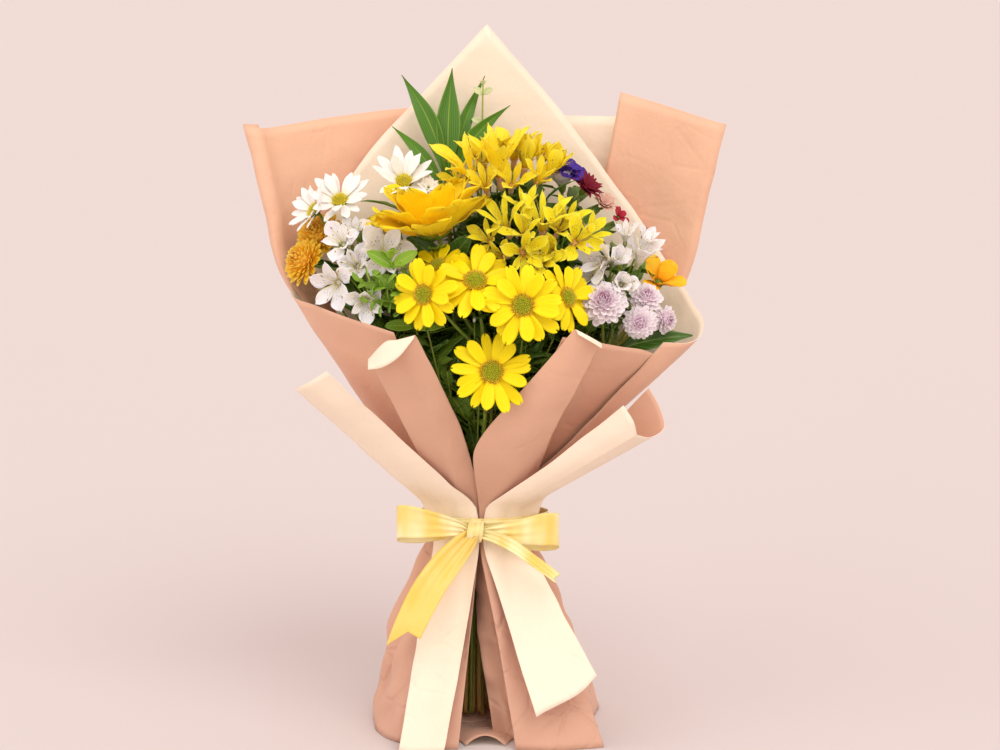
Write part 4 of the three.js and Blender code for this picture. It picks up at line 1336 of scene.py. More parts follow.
def leafing_grower() -> Grower:
    """Builds the tree that sets leaves up a stem, turned on from each to the next.

    Returns:
        The tree. It starts from the leaf, and its Stem is an object of joined points.
    """
    g = Grower(
        "leaves_up_a_stem",
        {
            "Stem": None, "Count": 6, "From": 0.4, "To": 0.9, "Turn": 2.4, "Start": 0.0,
            "Rise": 0.8, "Rise Jitter": 0.2, "Low Size": 1.0, "High Size": 1.0, "Size Jitter": 0.15,
            "Stand Off": 0.001, "Seed": 1,
        },
    )
    stem = g.node("GeometryNodeObjectInfo", inputs={"Object": g.source.outputs["Stem"]})
    run = g.node("GeometryNodeMeshToCurve", inputs={"Mesh": stem.outputs["Geometry"]})
    number = g.index()
    share = number / (g.size("Count") - 1)
    points = g.node("GeometryNodePoints", inputs={"Count": g.size("Count")})
    factor = g.size("From") + (g.size("To") - g.size("From")) * share + g.chance(-0.02, 0.02, 1)
    sample = g.node("GeometryNodeSampleCurve", {"mode": "FACTOR"}, {"Curves": run, "Factor": factor})
    tangent = sample.outputs["Tangent"]
    turn = number * g.size("Turn") + g.size("Start") + g.chance(-0.3, 0.3, 2)
    around = g.node("FunctionNodeAxisAngleToRotation", inputs={"Axis": tangent, "Angle": turn})
    level = g.together("CROSS_PRODUCT", tangent, (1.0, 0.0, 0.0))
    side = g.node("ShaderNodeVectorMath", {"operation": "NORMALIZE"}, {0: level})
    out = g.node("FunctionNodeRotateVector", inputs={"Vector": side, "Rotation": around})
    rise = g.size("Rise") + g.chance(-1.0, 1.0, 3) * g.size("Rise Jitter")
    direction = g.together("ADD", g.scaled(tangent, rise.sine()), g.scaled(out, rise.cosine()))
    first = g.node("FunctionNodeAlignRotationToVector", {"axis": "X"}, {"Vector": direction})
    rotation = g.node(
        "FunctionNodeAlignRotationToVector", {"axis": "Z", "pivot_axis": "X"},
        {"Rotation": first, "Vector": tangent},
    )
    spot = g.together("ADD", sample.outputs["Position"], g.scaled(out, g.size("Stand Off")))
    set_out = g.node("GeometryNodeSetPosition", inputs={"Geometry": points, "Position": spot})
    chance = g.stored(set_out, "chance", g.chance(0.0, 1.0, 5))
    size = g.size("Low Size") + (g.size("High Size") - g.size("Low Size")) * share
    size = size * (1 + g.chance(-1.0, 1.0, 4) * g.size("Size Jitter"))
    g.end(g.placed(chance, rotation, size))
    return g


RUN_STEPS = 8
WHORL = whorl_grower()
STALK = stalk_grower()
LEAFING = leafing_grower()


def whorl(blade: Shell, finish: Finish, count: int, **sizes: object) -> Shell:
    """One even ring of blades.

    Args:
        blade: The blade's mesh data.
        finish: Its finish.
        count: How many.
        **sizes: Radius, Lift and Rise of the ring, and the tree's other inputs.

    Returns:
        The ring.
    """
    for label in ("Radius", "Lift", "Rise", "Size"):
        if label in sizes:
            value = sizes.pop(label)
            sizes[f"Middle_{label}"] = value
            sizes[f"Rim_{label}"] = value
    return WHORL.grow(blade, finish, Count=count, Turn=2 * math.pi / count, **sizes)


def run_of(points: Way) -> bpy.types.Object:
    """An object of joined points, without faces, along the smooth curve through some points.

    Args:
        points: The points, in millimetres.

    Returns:
        The object, in metres.
    """
    smooth = spline(points, np.linspace(0, 1, RUN_STEPS * (len(points) - 1) + 1)) * MM
    made = bpy.data.meshes.new("run")
    made.from_pydata([tuple(p) for p in smooth], [(k, k + 1) for k in range(len(smooth) - 1)], [])
    return new_object("run", made)


def stalk(points: Way, finish: Finish, foot: float, tip: float, **sizes: object) -> Shell:
    """A smooth round stem through points.

    Args:
        points: The points, in millimetres.
        finish: Its finish.
        foot: Its radius at its first point.
        tip: Its radius at its last.
        **sizes: The tree's other inputs.

    Returns:
        The stem.
    """
    return STALK.run(run_of(points), finish, {"Foot Radius": foot * MM, "Tip Radius": tip * MM, **sizes})


def leaves_up(points: Way, leaf: Shell, finish: Finish, **sizes: object) -> Shell:
    """Leaves up a stem.

    Args:
        points: The stem's points, in millimetres.
        leaf: One leaf's mesh data.
        finish: The leaves' finish.
        **sizes: The tree's inputs.

    Returns:
        The leaves.
    """
    stem = run_of(points)
    result = LEAFING.grow(leaf, finish, Stem=stem, **sizes)
    discard(stem)
    return result


# ------------------------------------------------------------------ wrapper
TIE_HEIGHT = 165.0
TIE_BAND = 26.0
NECK_X = 4.0
NECK_WIDTH = 25.0
NECK_DEPTH = 15.0
WIDTH_STEP = 3.1
DEPTH_STEP = 2.3
PAPER_MM = 0.45
LEAST_HEIGHT = PAPER_MM / 2 + 0.05
UPPER_ROWS = 34
SKIRT_ROWS = 30
FOLD_ROWS = 7
CREASES = 22
CREASE_JITTER = 0.12
# Waves round the neck, each as its count, its start in radians and its share.
GATHERS = ((17, 0.6, 1.0), (23, 2.1, 0.8), (31, 4.0, 0.6))
SWELLS = ((5, 1.2, 1.0), (9, 0.4, 0.7))
FOLDS = ((8, 0.9, 1.0), (13, 2.6, 0.7))
# How far each kind of fold stands out, in millimetres.
GATHER_MM = 0.5
SWELL_MM = 2.6
FOLD_MM = 4.2
CREASE_MM = 2.6


def neck_point(layer: float, degrees: np.ndarray, height: float) -> np.ndarray:
    """Points of the gathered neck, on the ring of one layer of paper.

    Args:
        layer: How far out the ring lies, in layers.
        degrees: Angles round the neck; the front is at -90.
        height: Height in millimetres.

    Returns:
        A point for each angle.
    """
    angle = np.radians(degrees)
    x = NECK_X + (NECK_WIDTH + WIDTH_STEP * layer) * np.cos(angle)
    y = (NECK_DEPTH + DEPTH_STEP * layer) * np.sin(angle)
    return np.stack([x, y, np.full_like(x, height)], axis=-1)


def outward(points: np.ndarray) -> np.ndarray:
    """Level directions straight away from the neck's axis.

    Args:
        points: Places in millimetres.

    Returns:
        A direction for each place.
    """
    level = points - np.array([NECK_X, 0, 0])
    level[..., 2] = 0
    return unit(level)


def bowed(points: np.ndarray, distance: np.ndarray | float) -> np.ndarray:
    """Points moved level and straight away from the neck's axis."""
    return points + outward(points) * np.asarray(distance)[..., None]


def eased_rows(grid: np.ndarray, middle: int, reach: int, rounds: int) -> np.ndarray:
    """Rounds a bend across a grid's rows.

    Args:
        grid: Rows by columns of points.
        middle: The row where the bend is.
        reach: How many rows on each side take part.
        rounds: How often they are averaged.

    Returns:
        The rounded grid.
    """
    result = grid.copy()
    low, high = max(1, middle - reach), min(len(grid) - 1, middle + reach + 1)
    for _ in range(rounds):
        mean = (result[low - 1 : high - 1] + result[low + 1 : high + 1]) / 2
        result[low:high] = 0.5 * result[low:high] + 0.5 * mean
    return result


def waves(angle: np.ndarray, kinds: Sequence[Point]) -> np.ndarray:
    """A sum of waves round the neck, each given as its count, start and share."""
    return sum(share * np.sin(count * angle + start) for count, start, share in kinds)


def pleats(points: np.ndarray) -> np.ndarray:
    """How far gathered paper stands out, the same for every layer at a place.

    Args:
        points: Places in millimetres.

    Returns:
        Distances in millimetres.
    """
    angle = np.arctan2(points[..., 1] / NECK_DEPTH, (points[..., 0] - NECK_X) / NECK_WIDTH)
    height = points[..., 2]
    off_tie = np.maximum(np.abs(height - TIE_HEIGHT) - TIE_BAND / 2, 0)
    gathered = np.exp(-off_tie / 42.0)
    skirt = np.clip((TIE_HEIGHT - height) / TIE_HEIGHT, 0, 1)
    fan = np.clip((height - TIE_HEIGHT) / 200, 0, 1)
    draw = np.random.default_rng(31)
    creases = np.zeros_like(angle)
    even = np.linspace(-math.pi, math.pi, CREASES, endpoint=False)
    for place in even + draw.uniform(-CREASE_JITTER, CREASE_JITTER, CREASES):
        gap = np.abs((angle - place - 0.35 * fan + math.pi) % (2 * math.pi) - math.pi)
        creases += draw.uniform(-1, 1.2) * np.exp(-gap / draw.uniform(0.04, 0.11))
    reach = np.exp(-off_tie / 105)
    return (
        GATHER_MM * waves(angle, GATHERS) * gathered
        + SWELL_MM * waves(angle, SWELLS) * np.sin(np.pi * fan)
        + FOLD_MM * waves(angle, FOLDS) * np.sin(np.pi * skirt ** 0.8)
        + CREASE_MM * creases * reach * np.clip(off_tie / 18, 0, 1)
    )


def crumples(points: np.ndarray, size: float, seed: int) -> np.ndarray:
    """Uneven small swells.

    Args:
        points: Places in millimetres.
        size: Their usual length in millimetres.
        seed: The seed of their draw.

    Returns:
        Values of about -1 to 1.
    """
    draw = np.random.default_rng(seed)
    total = np.zeros(points.shape[:-1])
    for _ in range(9):
        direction = unit(draw.normal(size=3))
        length = size * draw.uniform(0.7, 1.9)
        total += np.sin(2 * np.pi * (points @ direction) / length + draw.uniform(0, 6.28))
    return total / 4


@dataclass(frozen=True)
class PaperSheet:
    """A sheet of two-tone paper that fans from the neck, above and below the tie.

    Attributes:
        name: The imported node's name.
        layer: Its ring at the neck.
        top: Its top edge.
        angles: Where each point of the top edge meets the neck.
        hem: Its lower edge.
        corners: The sharp corners of the top edge, by number.
        hem_corners: The sharp corners of the hem, by number.
        via: A middle line that it passes, point for point with the top edge.
        lip: The edge of its turned-down strip.
        low: Where the hem's ends leave the neck, unless as above.
        bow: How far it swells above the tie.
        skirt_bow: How far it swells below.
        rumple: How strongly it is crumpled below the tie.
        outside: The finish of the side away from the flowers.
        inside: The finish of the side towards them.
        slot: The record's material slot.
        columns: About how many steps it has across.
    """

    name: str
    layer: float
    top: tuple[Point, ...]
    angles: tuple[float, ...]
    hem: tuple[Point, ...]
    corners: tuple[int, ...] = ()
    hem_corners: tuple[int, ...] = ()
    via: tuple[Point, ...] = ()
    lip: tuple[Point, ...] = ()
    low: tuple[float, float] | None = None
    bow: float = 0.0
    skirt_bow: float = 0.0
    rumple: float = 0.5
    outside: Finish = Finish.PINK_PAPER
    inside: Finish = Finish.CREAM_PAPER
    slot: str = "pink_paper"
    columns: int = 64

    def shares(self) -> np.ndarray:
        """Parameters of the columns, close together in short stretches of the top edge.

        Returns:
            Parameters from 0 to 1.
        """
        edge = np.array(self.top)
        lengths = np.linalg.norm(np.diff(edge, axis=0), axis=1)
        parts = np.maximum(3, np.round(self.columns * lengths / lengths.sum()).astype(int))
        last = len(edge) - 1
        steps = [np.arange(count) / count + k for k, count in enumerate(parts)]
        return np.append(np.concatenate(steps), last) / last

    def grid(self) -> np.ndarray:
        """The sheet's middle surface, in millimetres.

        Returns:
            Rows by columns of points, from the top edge down to the hem.
        """
        at = self.shares()
        edge = cornered(self.top, self.corners, at)
        angles = np.interp(at, np.linspace(0, 1, len(self.angles)), self.angles)
        neck = neck_point(self.layer, angles, TIE_HEIGHT + TIE_BAND / 2)
        down = np.linspace(0, 1, UPPER_ROWS + 1)[:, None, None]
        if self.via:
            middle = cornered(self.via, self.corners, at)
            above = edge * (1 - 2 * down) + middle * 2 * down
            upper = np.where(down < 0.5, above, middle * (2 - 2 * down) + neck * (2 * down - 1))
            upper = eased_rows(upper, UPPER_ROWS // 2, 5, 9)
        else:
            upper = edge * (1 - down) + neck * down
        share = down[..., 0] * np.ones(len(at))
        upper = bowed(upper, self.bow * 4 * share * (1 - share))
        low = self.low or (self.angles[0], self.angles[-1])
        waist = neck_point(self.layer, np.interp(at, [0, 1], low), TIE_HEIGHT - TIE_BAND / 2)
        floor = by_length(cornered(self.hem, self.hem_corners, np.linspace(0, 1, 80)), at)
        down = np.linspace(0, 1, SKIRT_ROWS + 1)[:, None, None]
        skirt = waist * (1 - down) + floor * down
        share = down[..., 0] * np.ones(len(at))
        skirt = bowed(skirt, self.skirt_bow * 4 * share * (1 - share))
        between = (upper[-1] + skirt[0])[None] / 2
        rows = [upper, between, skirt]
        bends = [UPPER_ROWS, UPPER_ROWS + 2]
        if self.lip:
            turned = cornered(self.lip, (), at)
            steps = np.linspace(0, 1, FOLD_ROWS + 1)[:-1, None, None]
            rows.insert(0, turned * (1 - steps) + edge * steps)
        grid = np.concatenate(rows)
        if self.lip:
            bends = [bend + FOLD_ROWS for bend in bends]
            grid = eased_rows(grid, FOLD_ROWS, 2, 3)
        for bend in bends:
            grid = eased_rows(grid, bend, 2, 3)
        return self.creased(grid)

    def creased(self, grid: np.ndarray) -> np.ndarray:
        """Adds the folds that all sheets share, and the sheet's own crumples.

        Args:
            grid: Rows by columns of points, in millimetres.

        Returns:
            The same grid with its folds, kept above the ground.
        """
        seed = 40 + int(10 * abs(self.layer))
        below = np.clip((TIE_HEIGHT - grid[..., 2]) / 60, 0, 1) * np.clip(grid[..., 2] / 20, 0, 1)
        swell = pleats(grid) + 0.9 * crumples(grid, 60, 7) + 0.35 * crumples(grid, 26, 8)
        swell = swell + self.rumple * below * crumples(grid, 20, seed)
        moved = bowed(grid, swell)
        moved[..., 2] = np.maximum(moved[..., 2], LEAST_HEIGHT)
        return moved

    def build(self) -> None:
        """Makes the sheet's piece."""
        grid = self.grid()
        row = len(grid) - SKIRT_ROWS - 2
        facing = (grid_normals(grid)[row] * outward(grid[row])).sum()
        sides = (self.outside, self.inside) if facing > 0 else (self.inside, self.outside)
        shell = sheet_shell(grid * MM, PAPER_MM * MM, *sides)
        add_piece(f"{self.name}_paper", [shell], self.slot, self.name)


SHEETS = (
    PaperSheet(
        "front_right_sheet", 0,
        ((62, -84, 322), (91, -82, 317), (108, -76, 313), (125, -66, 309), (140, -46, 300)),
        (-112, -22),
        ((12, -44, 0.5), (34, -58, 0.5), (62, -54, 0.5)),
        low=(-126, -22), rumple=4.0,
    ),
    PaperSheet(
        "peak_sheet", 1.3,
        ((-133, 16, 373), (-95, 38, 438), (-56, 48, 482), (7, 56, 548), (69, 50, 476), (97, 44, 439),
         (125, 33, 400), (150, 16, 361), (166, -2, 336), (174, -18, 325), (171, -40, 317), (158, -56, 313),
         (140, -60, 314)),
        (205, 180, 150, 95, 50, 30, 10, -8, -22, -34, -44, -53, -62),
        ((-52, 30, 0.5), (-30, 52, 0.5), (20, 62, 0.5), (62, 48, 0.5), (80, 20, 0.5), (84, -20, 0.5),
         (70, -40, 0.5)),
        corners=(3,), bow=5, columns=120, slot="cream_paper",
    ),
    PaperSheet(
        "back_left_sheet", 2.6,
        ((20, 74, 486), (-55, 72, 482), (-117, 56, 475), (-158, 34, 469), (-168, 20, 469), (-179, 22, 471),
         (-181, 36, 471), (-172, 48, 470)),
        (80, 110, 140, 168, 178, 186, 194, 202),
        ((12, 66, 0.5), (-34, 60, 0.5), (-66, 34, 0.5), (-80, -4, 0.5), (-72, -30, 0.5)),
        via=((20, 64, 345), (-48, 60, 348), (-100, 42, 350), (-134, 14, 352), (-145, 1, 352), (-152, -2, 352),
             (-154, 8, 352), (-146, 16, 352)),
        low=(80, 226), skirt_bow=4, rumple=1.4, inside=Finish.PINK_PAPER, columns=90,
    ),
    PaperSheet(
        "back_right_sheet", 2.6,
        ((40, 76, 476), (106, 74, 475), (168, 58, 474), (190, 44, 471), (194, 36, 471), (187, 31, 473),
         (150, 46, 484), (112, 58, 495)),
        (70, 45, 18, -4, -10, -16, -22, -28),
        ((22, 67, 0.5), (66, 54, 0.5), (96, 36, 2), (92, 0, 0.5), (88, -20, 0.5)),
        via=((28, 64, 338), (76, 62, 338), (130, 46, 340), (158, 32, 342), (163, 25, 342), (158, 22, 343),
             (122, 38, 345), (86, 45, 347)),
        low=(70, -40), skirt_bow=4, rumple=1.4, columns=90,
    ),
    PaperSheet(
        "front_left_outer_sheet", 4,
        ((-145, -8, 351), (-141, -28, 344), (-120, -50, 340), (-99, -64, 334), (-61, -82, 325)),
        (180, 262),
        ((-84, -6, 0.5), (-80, -34, 0.5), (-62, -60, 0.5), (-34, -68, 0.5)),
        bow=3, skirt_bow=5, rumple=2.6,
    ),
    PaperSheet(
        "front_left_inner_sheet", 5.2,
        ((-80, -88, 308), (-68, -96, 323), (-58, -99, 325), (-45, -96, 326)),
        (228, 273),
        ((-50, -72, 0.5), (-30, -77, 0.5), (-15, -77, 0.5)),
        low=(228, 266), via=((-52, -54, 243), (-41, -60, 250.5), (-29, -63, 251.5), (-14, -62, 252)),
        lip=((-79, -100, 300), (-68, -106, 303), (-56, -106, 311), (-46, -99, 323)),
        columns=40,
    ),
    PaperSheet(
        "front_right_band", 6.4,
        ((71, -95, 331), (81, -96, 326), (91, -92, 320)),
        (266, 318),
        ((29, -78, 0.5), (62, -80, 0.5), (97, -72, 0.5)),
        via=((-5, -63, 233), (27, -67, 242), (54, -61, 245)),
        lip=((73, -98, 326), (82, -99, 321), (91, -95, 315)),
        skirt_bow=3, columns=44,
    ),
    PaperSheet(
        "cream_left_strip", 7.6,
        ((-134, -62, 279), (-126, -72, 285), (-112, -78, 295)),
        (205, 268),
        ((-60, -84, 0.5), (-44, -87, 0.5), (-26, -86, 0.5)),
        low=(222, 268), outside=Finish.CREAM_PAPER, inside=Finish.PINK_PAPER, slot="cream_paper", columns=44,
    ),
    PaperSheet(
        "cream_right_strip", 7.6,
        ((110, -88, 271), (117, -92, 260), (120, -90, 249), (132, -80, 245), (142, -66, 250), (138, -58, 264),
         (130, -54, 278)),
        (268.6, 338),
        ((45, -94, 32), (75, -92, 48), (91, -86, 62)),
        corners=(2,), low=(268.6, 312), outside=Finish.CREAM_PAPER, inside=Finish.PINK_PAPER,
        slot="cream_paper", columns=70,
    ),
)


@dataclass(frozen=True)
class FootSheet:
    """The sheet that hangs behind the stems, turns under their ends and comes forward.

    Attributes:
        layer: Its ring at the neck, inside all other sheets'.
        spread: Half its width at the neck, in degrees.
        floor: How far back it lies on the ground at each of its places there.
        columns: Its steps across.
        rows: Its steps along.
        rumple: How strongly it is crumpled at the front.
    """

    layer: float = -1.2
    spread: float = 40.0
    floor: tuple[float, ...] = (26, 12, -12, -22)
    columns: int = 44
    rows: int = 70
    rumple: float = 2.4

    def build(self) -> None:
        """Makes the sheet's piece."""
        s = np.linspace(-1, 1, self.columns)
        behind = neck_point(self.layer, 90 - self.spread * s, TIE_HEIGHT + TIE_BAND / 2)
        below = neck_point(self.layer, 90 - self.spread * s, TIE_HEIGHT - TIE_BAND / 2)
        flat = np.ones_like(s)
        heel = np.stack([NECK_X + 44 * s, 46 - 8 * s * s, 26 * flat], axis=-1)
        turn = np.stack([NECK_X + 50 * s, 40 - 8 * s * s, 4 * flat], axis=-1)
        floor = [np.stack([NECK_X + (40 + 0.2 * y) * s, y * flat, 0.4 * flat], axis=-1) for y in self.floor]
        hem = np.stack([6 + 15 * s, -70 * flat, 1 + 8 * (1 - s * s)], axis=-1)
        knots = np.stack([behind, below, heel, turn, *floor, hem])
        at = np.linspace(0, 1, self.rows)
        grid = np.stack([spline(knots[:, k], at) for k in range(self.columns)], axis=1)
        depth = np.clip((-20 - grid[..., 1]) / 30, 0, 1)
        grid[..., 2] += self.rumple * depth * (1 + crumples(grid, 24, 5)) * (1 - at[:, None] ** 8)
        grid[..., 2] = np.maximum(grid[..., 2], LEAST_HEIGHT)
        shell = sheet_shell(grid * MM, PAPER_MM * MM, Finish.PINK_PAPER, Finish.CREAM_PAPER)
        add_piece("foot_sheet_paper", [shell], "pink_paper", "foot_sheet")


class Wrapper:
    """The two-tone paper wrapper."""

    def build(self) -> None:
        """Makes every sheet."""
        FootSheet().build()
        for sheet in SHEETS:
            sheet.build()


# ------------------------------------------------------------------ ribbon
@dataclass(frozen=True)
class Ribbon:
    """A satin ribbon: its band round the neck, a knot, two loops and two tails.

    Attributes:
        width: Its flat width in millimetres.
        thickness: Its thickness in millimetres.
        layer: Its ring at the neck, outside all the paper.
        hidden: Its whole length as a share of the length that is modelled.
        columns: Its steps across.
    """

    width: float = 25.0
    thickness: float = 0.4
    layer: float = 8.9
    hidden: float = 1.12
    columns: int = 14

    @property
    def front(self) -> float:
        """How far forward the band lies."""
        return -(NECK_DEPTH + DEPTH_STEP * self.layer)

    @property
    def knot(self) -> np.ndarray:
        """The knot's middle."""
        return np.array([-2.0, self.front - 5, TIE_HEIGHT - 2])

    def strip(
        self,
        points: Way,
        across: Way,
        widths: Sequence[float],
        gather: Sequence[float],
        rows: int = 60,
        cup: float = 0.0,
        end: float = 0.0,
        sway: float = 0.0,
        shade: float = 0.0,
    ) -> tuple[Shell, float]:
        """A strip of ribbon along points.

        Args:
            points: Its middle line, in millimetres.
            across: The direction of its width at each point.
            widths: Its seen width at each point.
            gather: The depth of its lengthwise folds at each point.
            rows: Its rows.
            cup: How hollow it is across, as a share of its width.
            end: The depth of its swallow-tail end.
            sway: The depth of soft waves along it.
            shade: How far painted shade deepens its colour, from 0 to 1.

        Returns:
            The strip and its flat area in square metres.
        """
        at = np.linspace(0, 1, rows)
        line = spline(points, at)
        side = unit(spline(unit(np.asarray(across, float)), at))
        half = spline(widths, at)[:, None] / 2
        depth = spline(gather, at)[:, None]
        t = np.linspace(-1, 1, self.columns + 1)[None, :]
        along = unit(np.gradient(line, axis=0))
        normal = unit(np.cross(along, side))
        swell = depth * (np.cos(3.2 * np.pi * t + 0.6) + 0.5 * np.cos(5.5 * np.pi * t + 2.0))
        swell = swell + cup * half * t**2
        swell = swell + sway * np.sin(2 * np.pi * 2.3 * at + 0.7)[:, None] * (0.4 + 0.6 * t**2)
        grid = line[:, None] + side[:, None] * (half * t)[..., None] + normal[:, None] * swell[..., None]
        last = np.clip((at[:, None] - 0.8) / 0.2, 0, 1)
        grid = grid + along[:, None] * (end * last * (np.abs(t) - 0.5))[..., None]
        marks = np.stack(np.broadcast_arrays(at[:, None], t, np.full_like(t, shade)), axis=-1)
        shell = sheet_shell(grid * MM, self.thickness * MM, Finish.SATIN, Finish.SATIN, marks)
        a, b, c, d = grid[:-1, :-1], grid[:-1, 1:], grid[1:, 1:], grid[1:, :-1]
        area = np.linalg.norm(np.cross(c - a, d - b), axis=-1).sum() / 2
        return shell, float(area) * MM * MM

    def band(self) -> tuple[Shell, float]:
        """The ribbon round the neck, gathered to two thirds of its width.

        Returns:
            The strip and its flat area in square metres.
        """
        degrees = np.linspace(-90, 270, 49)
        back = np.clip((np.sin(np.radians(degrees)) + 0.2) / 0.6, 0, 1)
        points = neck_point(self.layer - 4.2 * back, degrees, TIE_HEIGHT - 1)
        count = len(points)
        return self.strip(points, [(0, 0, 1)] * count, [16] * count, [0.45] * count, rows=120)

    def loop(self, side: float, drop: float) -> tuple[Shell, float]:
        """One loop of the bow.

        Args:
            side: -1 for the left loop and 1 for the right one.
            drop: How far its end hangs lower, in millimetres.

        Returns:
            The strip and its flat area in square metres.
        """
        f, k = self.front, self.knot
        points = [
            (k[0] + side * 3, k[1] - 1.5, k[2]),
            (side * 14, f - 8.5, 167 - 0.6 * drop),
            (side * 30, f - 11, 170 - drop),
            (side * 48, f - 12, 172 - drop),
            (side * 59, f - 9.5, 172 - drop),
            (side * 62.5, f - 4.5, 169.6 - drop),
            (side * 59, f - 1.2, 166 - drop),
            (side * 44, f - 1.2, 164 - drop),
            (side * 26, f - 1.6, 163.6 - 0.8 * drop),
            (k[0] + side * 3, k[1] + 2.5, k[2]),
        ]
        across = [(0.1 * side, 0, 1)] * 3 + [(0, 0.02, 1)] * 7
        widths = [7, 12, 19, 25, 26, 26, 25, 22, 15, 7]
        gather = [1.2, 0.9, 0.5, 0.15, 0.03, 0.0, 0.03, 0.2, 0.6, 1.1]
        return self.strip(points, across, widths, gather, rows=110, sway=0.5)

    def left_tail(self) -> tuple[Shell, float]:
        """The wide tail, down to its swallow-tail end.

        Returns:
            The strip and its flat area in square metres.
        """
        f, k = self.front, self.knot
        # The wide tail is deepened with painted shade.
        return self.strip(
            [(k[0] - 1, k[1] - 2, k[2]), (-10, f - 14, 157), (-22, f - 24, 145), (-36, f - 38, 128),
             (-47, f - 49, 109), (-54, f - 56, 94)],
            [(0.75, 0, -0.6), (0.8, 0, -0.5), (0.88, 0, -0.36), (0.94, 0.05, -0.16),
             (0.97, 0.08, 0.04), (0.96, 0.1, 0.16)],
            [9, 17, 23, 26, 27, 26],
            [1.3, 1.1, 0.7, 0.35, 0.15, 0.05],
            rows=80, cup=0.1, end=9.0, sway=0.8, shade=1.0,
        )

    def right_tail(self) -> tuple[Shell, float]:
        """The tail that shows nearly edge-on.

        Returns:
            The strip and its flat area in square metres.
        """
        f, k = self.front, self.knot
        return self.strip(
            [(k[0] + 1, k[1] - 2, k[2]), (14, f - 13, 160), (27, f - 20, 155), (42, f - 28, 146),
             (60, f - 36, 134)],
            [(0, 0.3, 1), (0.1, 0.45, 1), (0.2, 0.55, 0.9), (0.3, 0.6, 0.8), (0.5, 0.6, 0.7)],
            [7, 9, 10, 9, 8],
            [1.0, 0.9, 0.7, 0.6, 0.5],
            rows=60, cup=0.5, end=3.0, sway=0.4,
        )

    def wrap(self) -> tuple[Shell, float]:
        """The short turn that makes the knot.

        Returns:
            The strip and its flat area in square metres.
        """
        turns = np.linspace(-0.4, 2 * math.pi - 0.2, 26)
        k = self.knot
        points = [
            (k[0] + 1.2 * math.sin(a), k[1] - 6.4 * math.cos(a), k[2] + 6.6 * math.sin(a)) for a in turns
        ]
        across = [(1, 0.1 * math.sin(a), 0.25 * math.cos(a)) for a in turns]
        widths = [10.5 + 2.5 * math.cos(a) for a in turns]
        return self.strip(points, across, widths, [0.55] * len(turns), rows=70, cup=-0.3)

    def build(self) -> None:
        """Makes the ribbon's piece and logs its flat width and length."""
        tails = [self.left_tail(), self.right_tail()]
        made = [self.band(), self.loop(-1, 0), self.loop(1, 6), *tails, self.wrap()]
        area = sum(part[1] for part in made)
        piece = add_piece("satin_ribbon_cloth", [part[0] for part in made], "satin", "satin_ribbon")
        length = round(self.hidden * area / (self.width * MM), 2)
        self.width * MM
        LOG.info("satin_ribbon_cloth: %.0f mm by %.2f m flat", self.width, length)


# ------------------------------------------------------------------ blooms
def lathe(profile: Way, finish: Finish, sides: int = 16, flute: float = 0.0) -> Shell:
    """A round body about +Z.

    Args:
        profile: Radius and height pairs in millimetres, from foot to top, both ends near the axis.
        finish: Its finish.
        sides: Its sides.
        flute: The depth of its ridges as a share of its radius.

    Returns:
        The body, with small closed ends.
    """
    angle = 2 * np.pi * np.arange(sides) / sides
    rows = []
    for radius, height in profile:
        r = max(radius, 0.02) * (1 + flute * np.cos(6 * angle))
        rows.append(np.stack([r * np.cos(angle), r * np.sin(angle), np.full(sides, height)], axis=-1))
    points = np.concatenate(rows) * MM
    count = len(profile)
    faces = [
        (i * sides + k, i * sides + (k + 1) % sides, (i + 1) * sides + (k + 1) % sides, (i + 1) * sides + k)
        for i in range(count - 1)
        for k in range(sides)
    ]
    faces.append(tuple(range(sides))[::-1])
    faces.append(tuple(range((count - 1) * sides, count * sides)))
    marks = np.zeros((len(points), 3))
    marks[:, 0] = np.repeat(np.linspace(0, 1, count), sides)
    marks[:, 1] = np.tile(np.sin(3 * angle), count)
    return Shell.of(points, faces, finish, marks)


def bud(length: float, width: float, finish: Finish, sides: int = 5, swell: float = 0.6) -> Shell:
    """A small closed bulb growing along +X, as a floret or an anther.

    Args:
        length: Its length in millimetres.
        width: Its greatest width.
        finish: Its finish.
        sides: Its sides.
        swell: Where it is widest, as a share of its length.

    Returns:
        The bulb.
    """
    shape = lathe(((0.3 * width, 0), (0.5 * width, swell * length), (0.12 * width, length)), finish, sides)
    return shape.moved(Matrix.Rotation(math.pi / 2, 4, "Y"))


def stamen(length: float, curl: float) -> Shell:
    """A curved filament along +X with its anther at the tip.

    Args:
        length: Its length in millimetres.
        curl: How far it bends along its length, in degrees.

    Returns:
        The stamen.
    """
    bend = math.radians(curl)
    share = np.linspace(0, 1, 6)
    radius = length / bend
    angle = bend * share
    points = np.stack([radius * np.sin(angle), 0 * share, radius * (1 - np.cos(angle))], axis=-1)
    filament = stalk(points, Finish.STAMEN, 0.28, 0.2, Sides=4, Step=0.004)
    filament.marks[:, 0] = 0.1
    anther = bud(0.14 * length, 0.06 * length, Finish.STAMEN, 5, 0.5)
    turn = Matrix.Rotation(-bend, 4, "Y")
    anther = anther.moved(Matrix.Translation(Vector(points[-1]) * MM) @ turn)
    anther.marks[:, 0] = 1.0
    return Shell.joined([filament, anther])


def sepal_cup(sepal: Blade, count: int, radius: float, lift: float, rise: float, seed: int) -> Shell:
    """The ring of green sepals behind a head.

    Args:
        sepal: One sepal.
        count: How many.
        radius: The ring's radius.
        lift: Its height.
        rise: How far the sepals stand up, in radians.
        seed: The seed of their draws.

    Returns:
        The cup.
    """
    blade = sepal.shell(Finish.SEPAL)
    return whorl(blade, Finish.SEPAL, count, Radius=radius * MM, Lift=lift * MM, Rise=rise,
                 Rise_Jitter=0.1, Seed=seed)


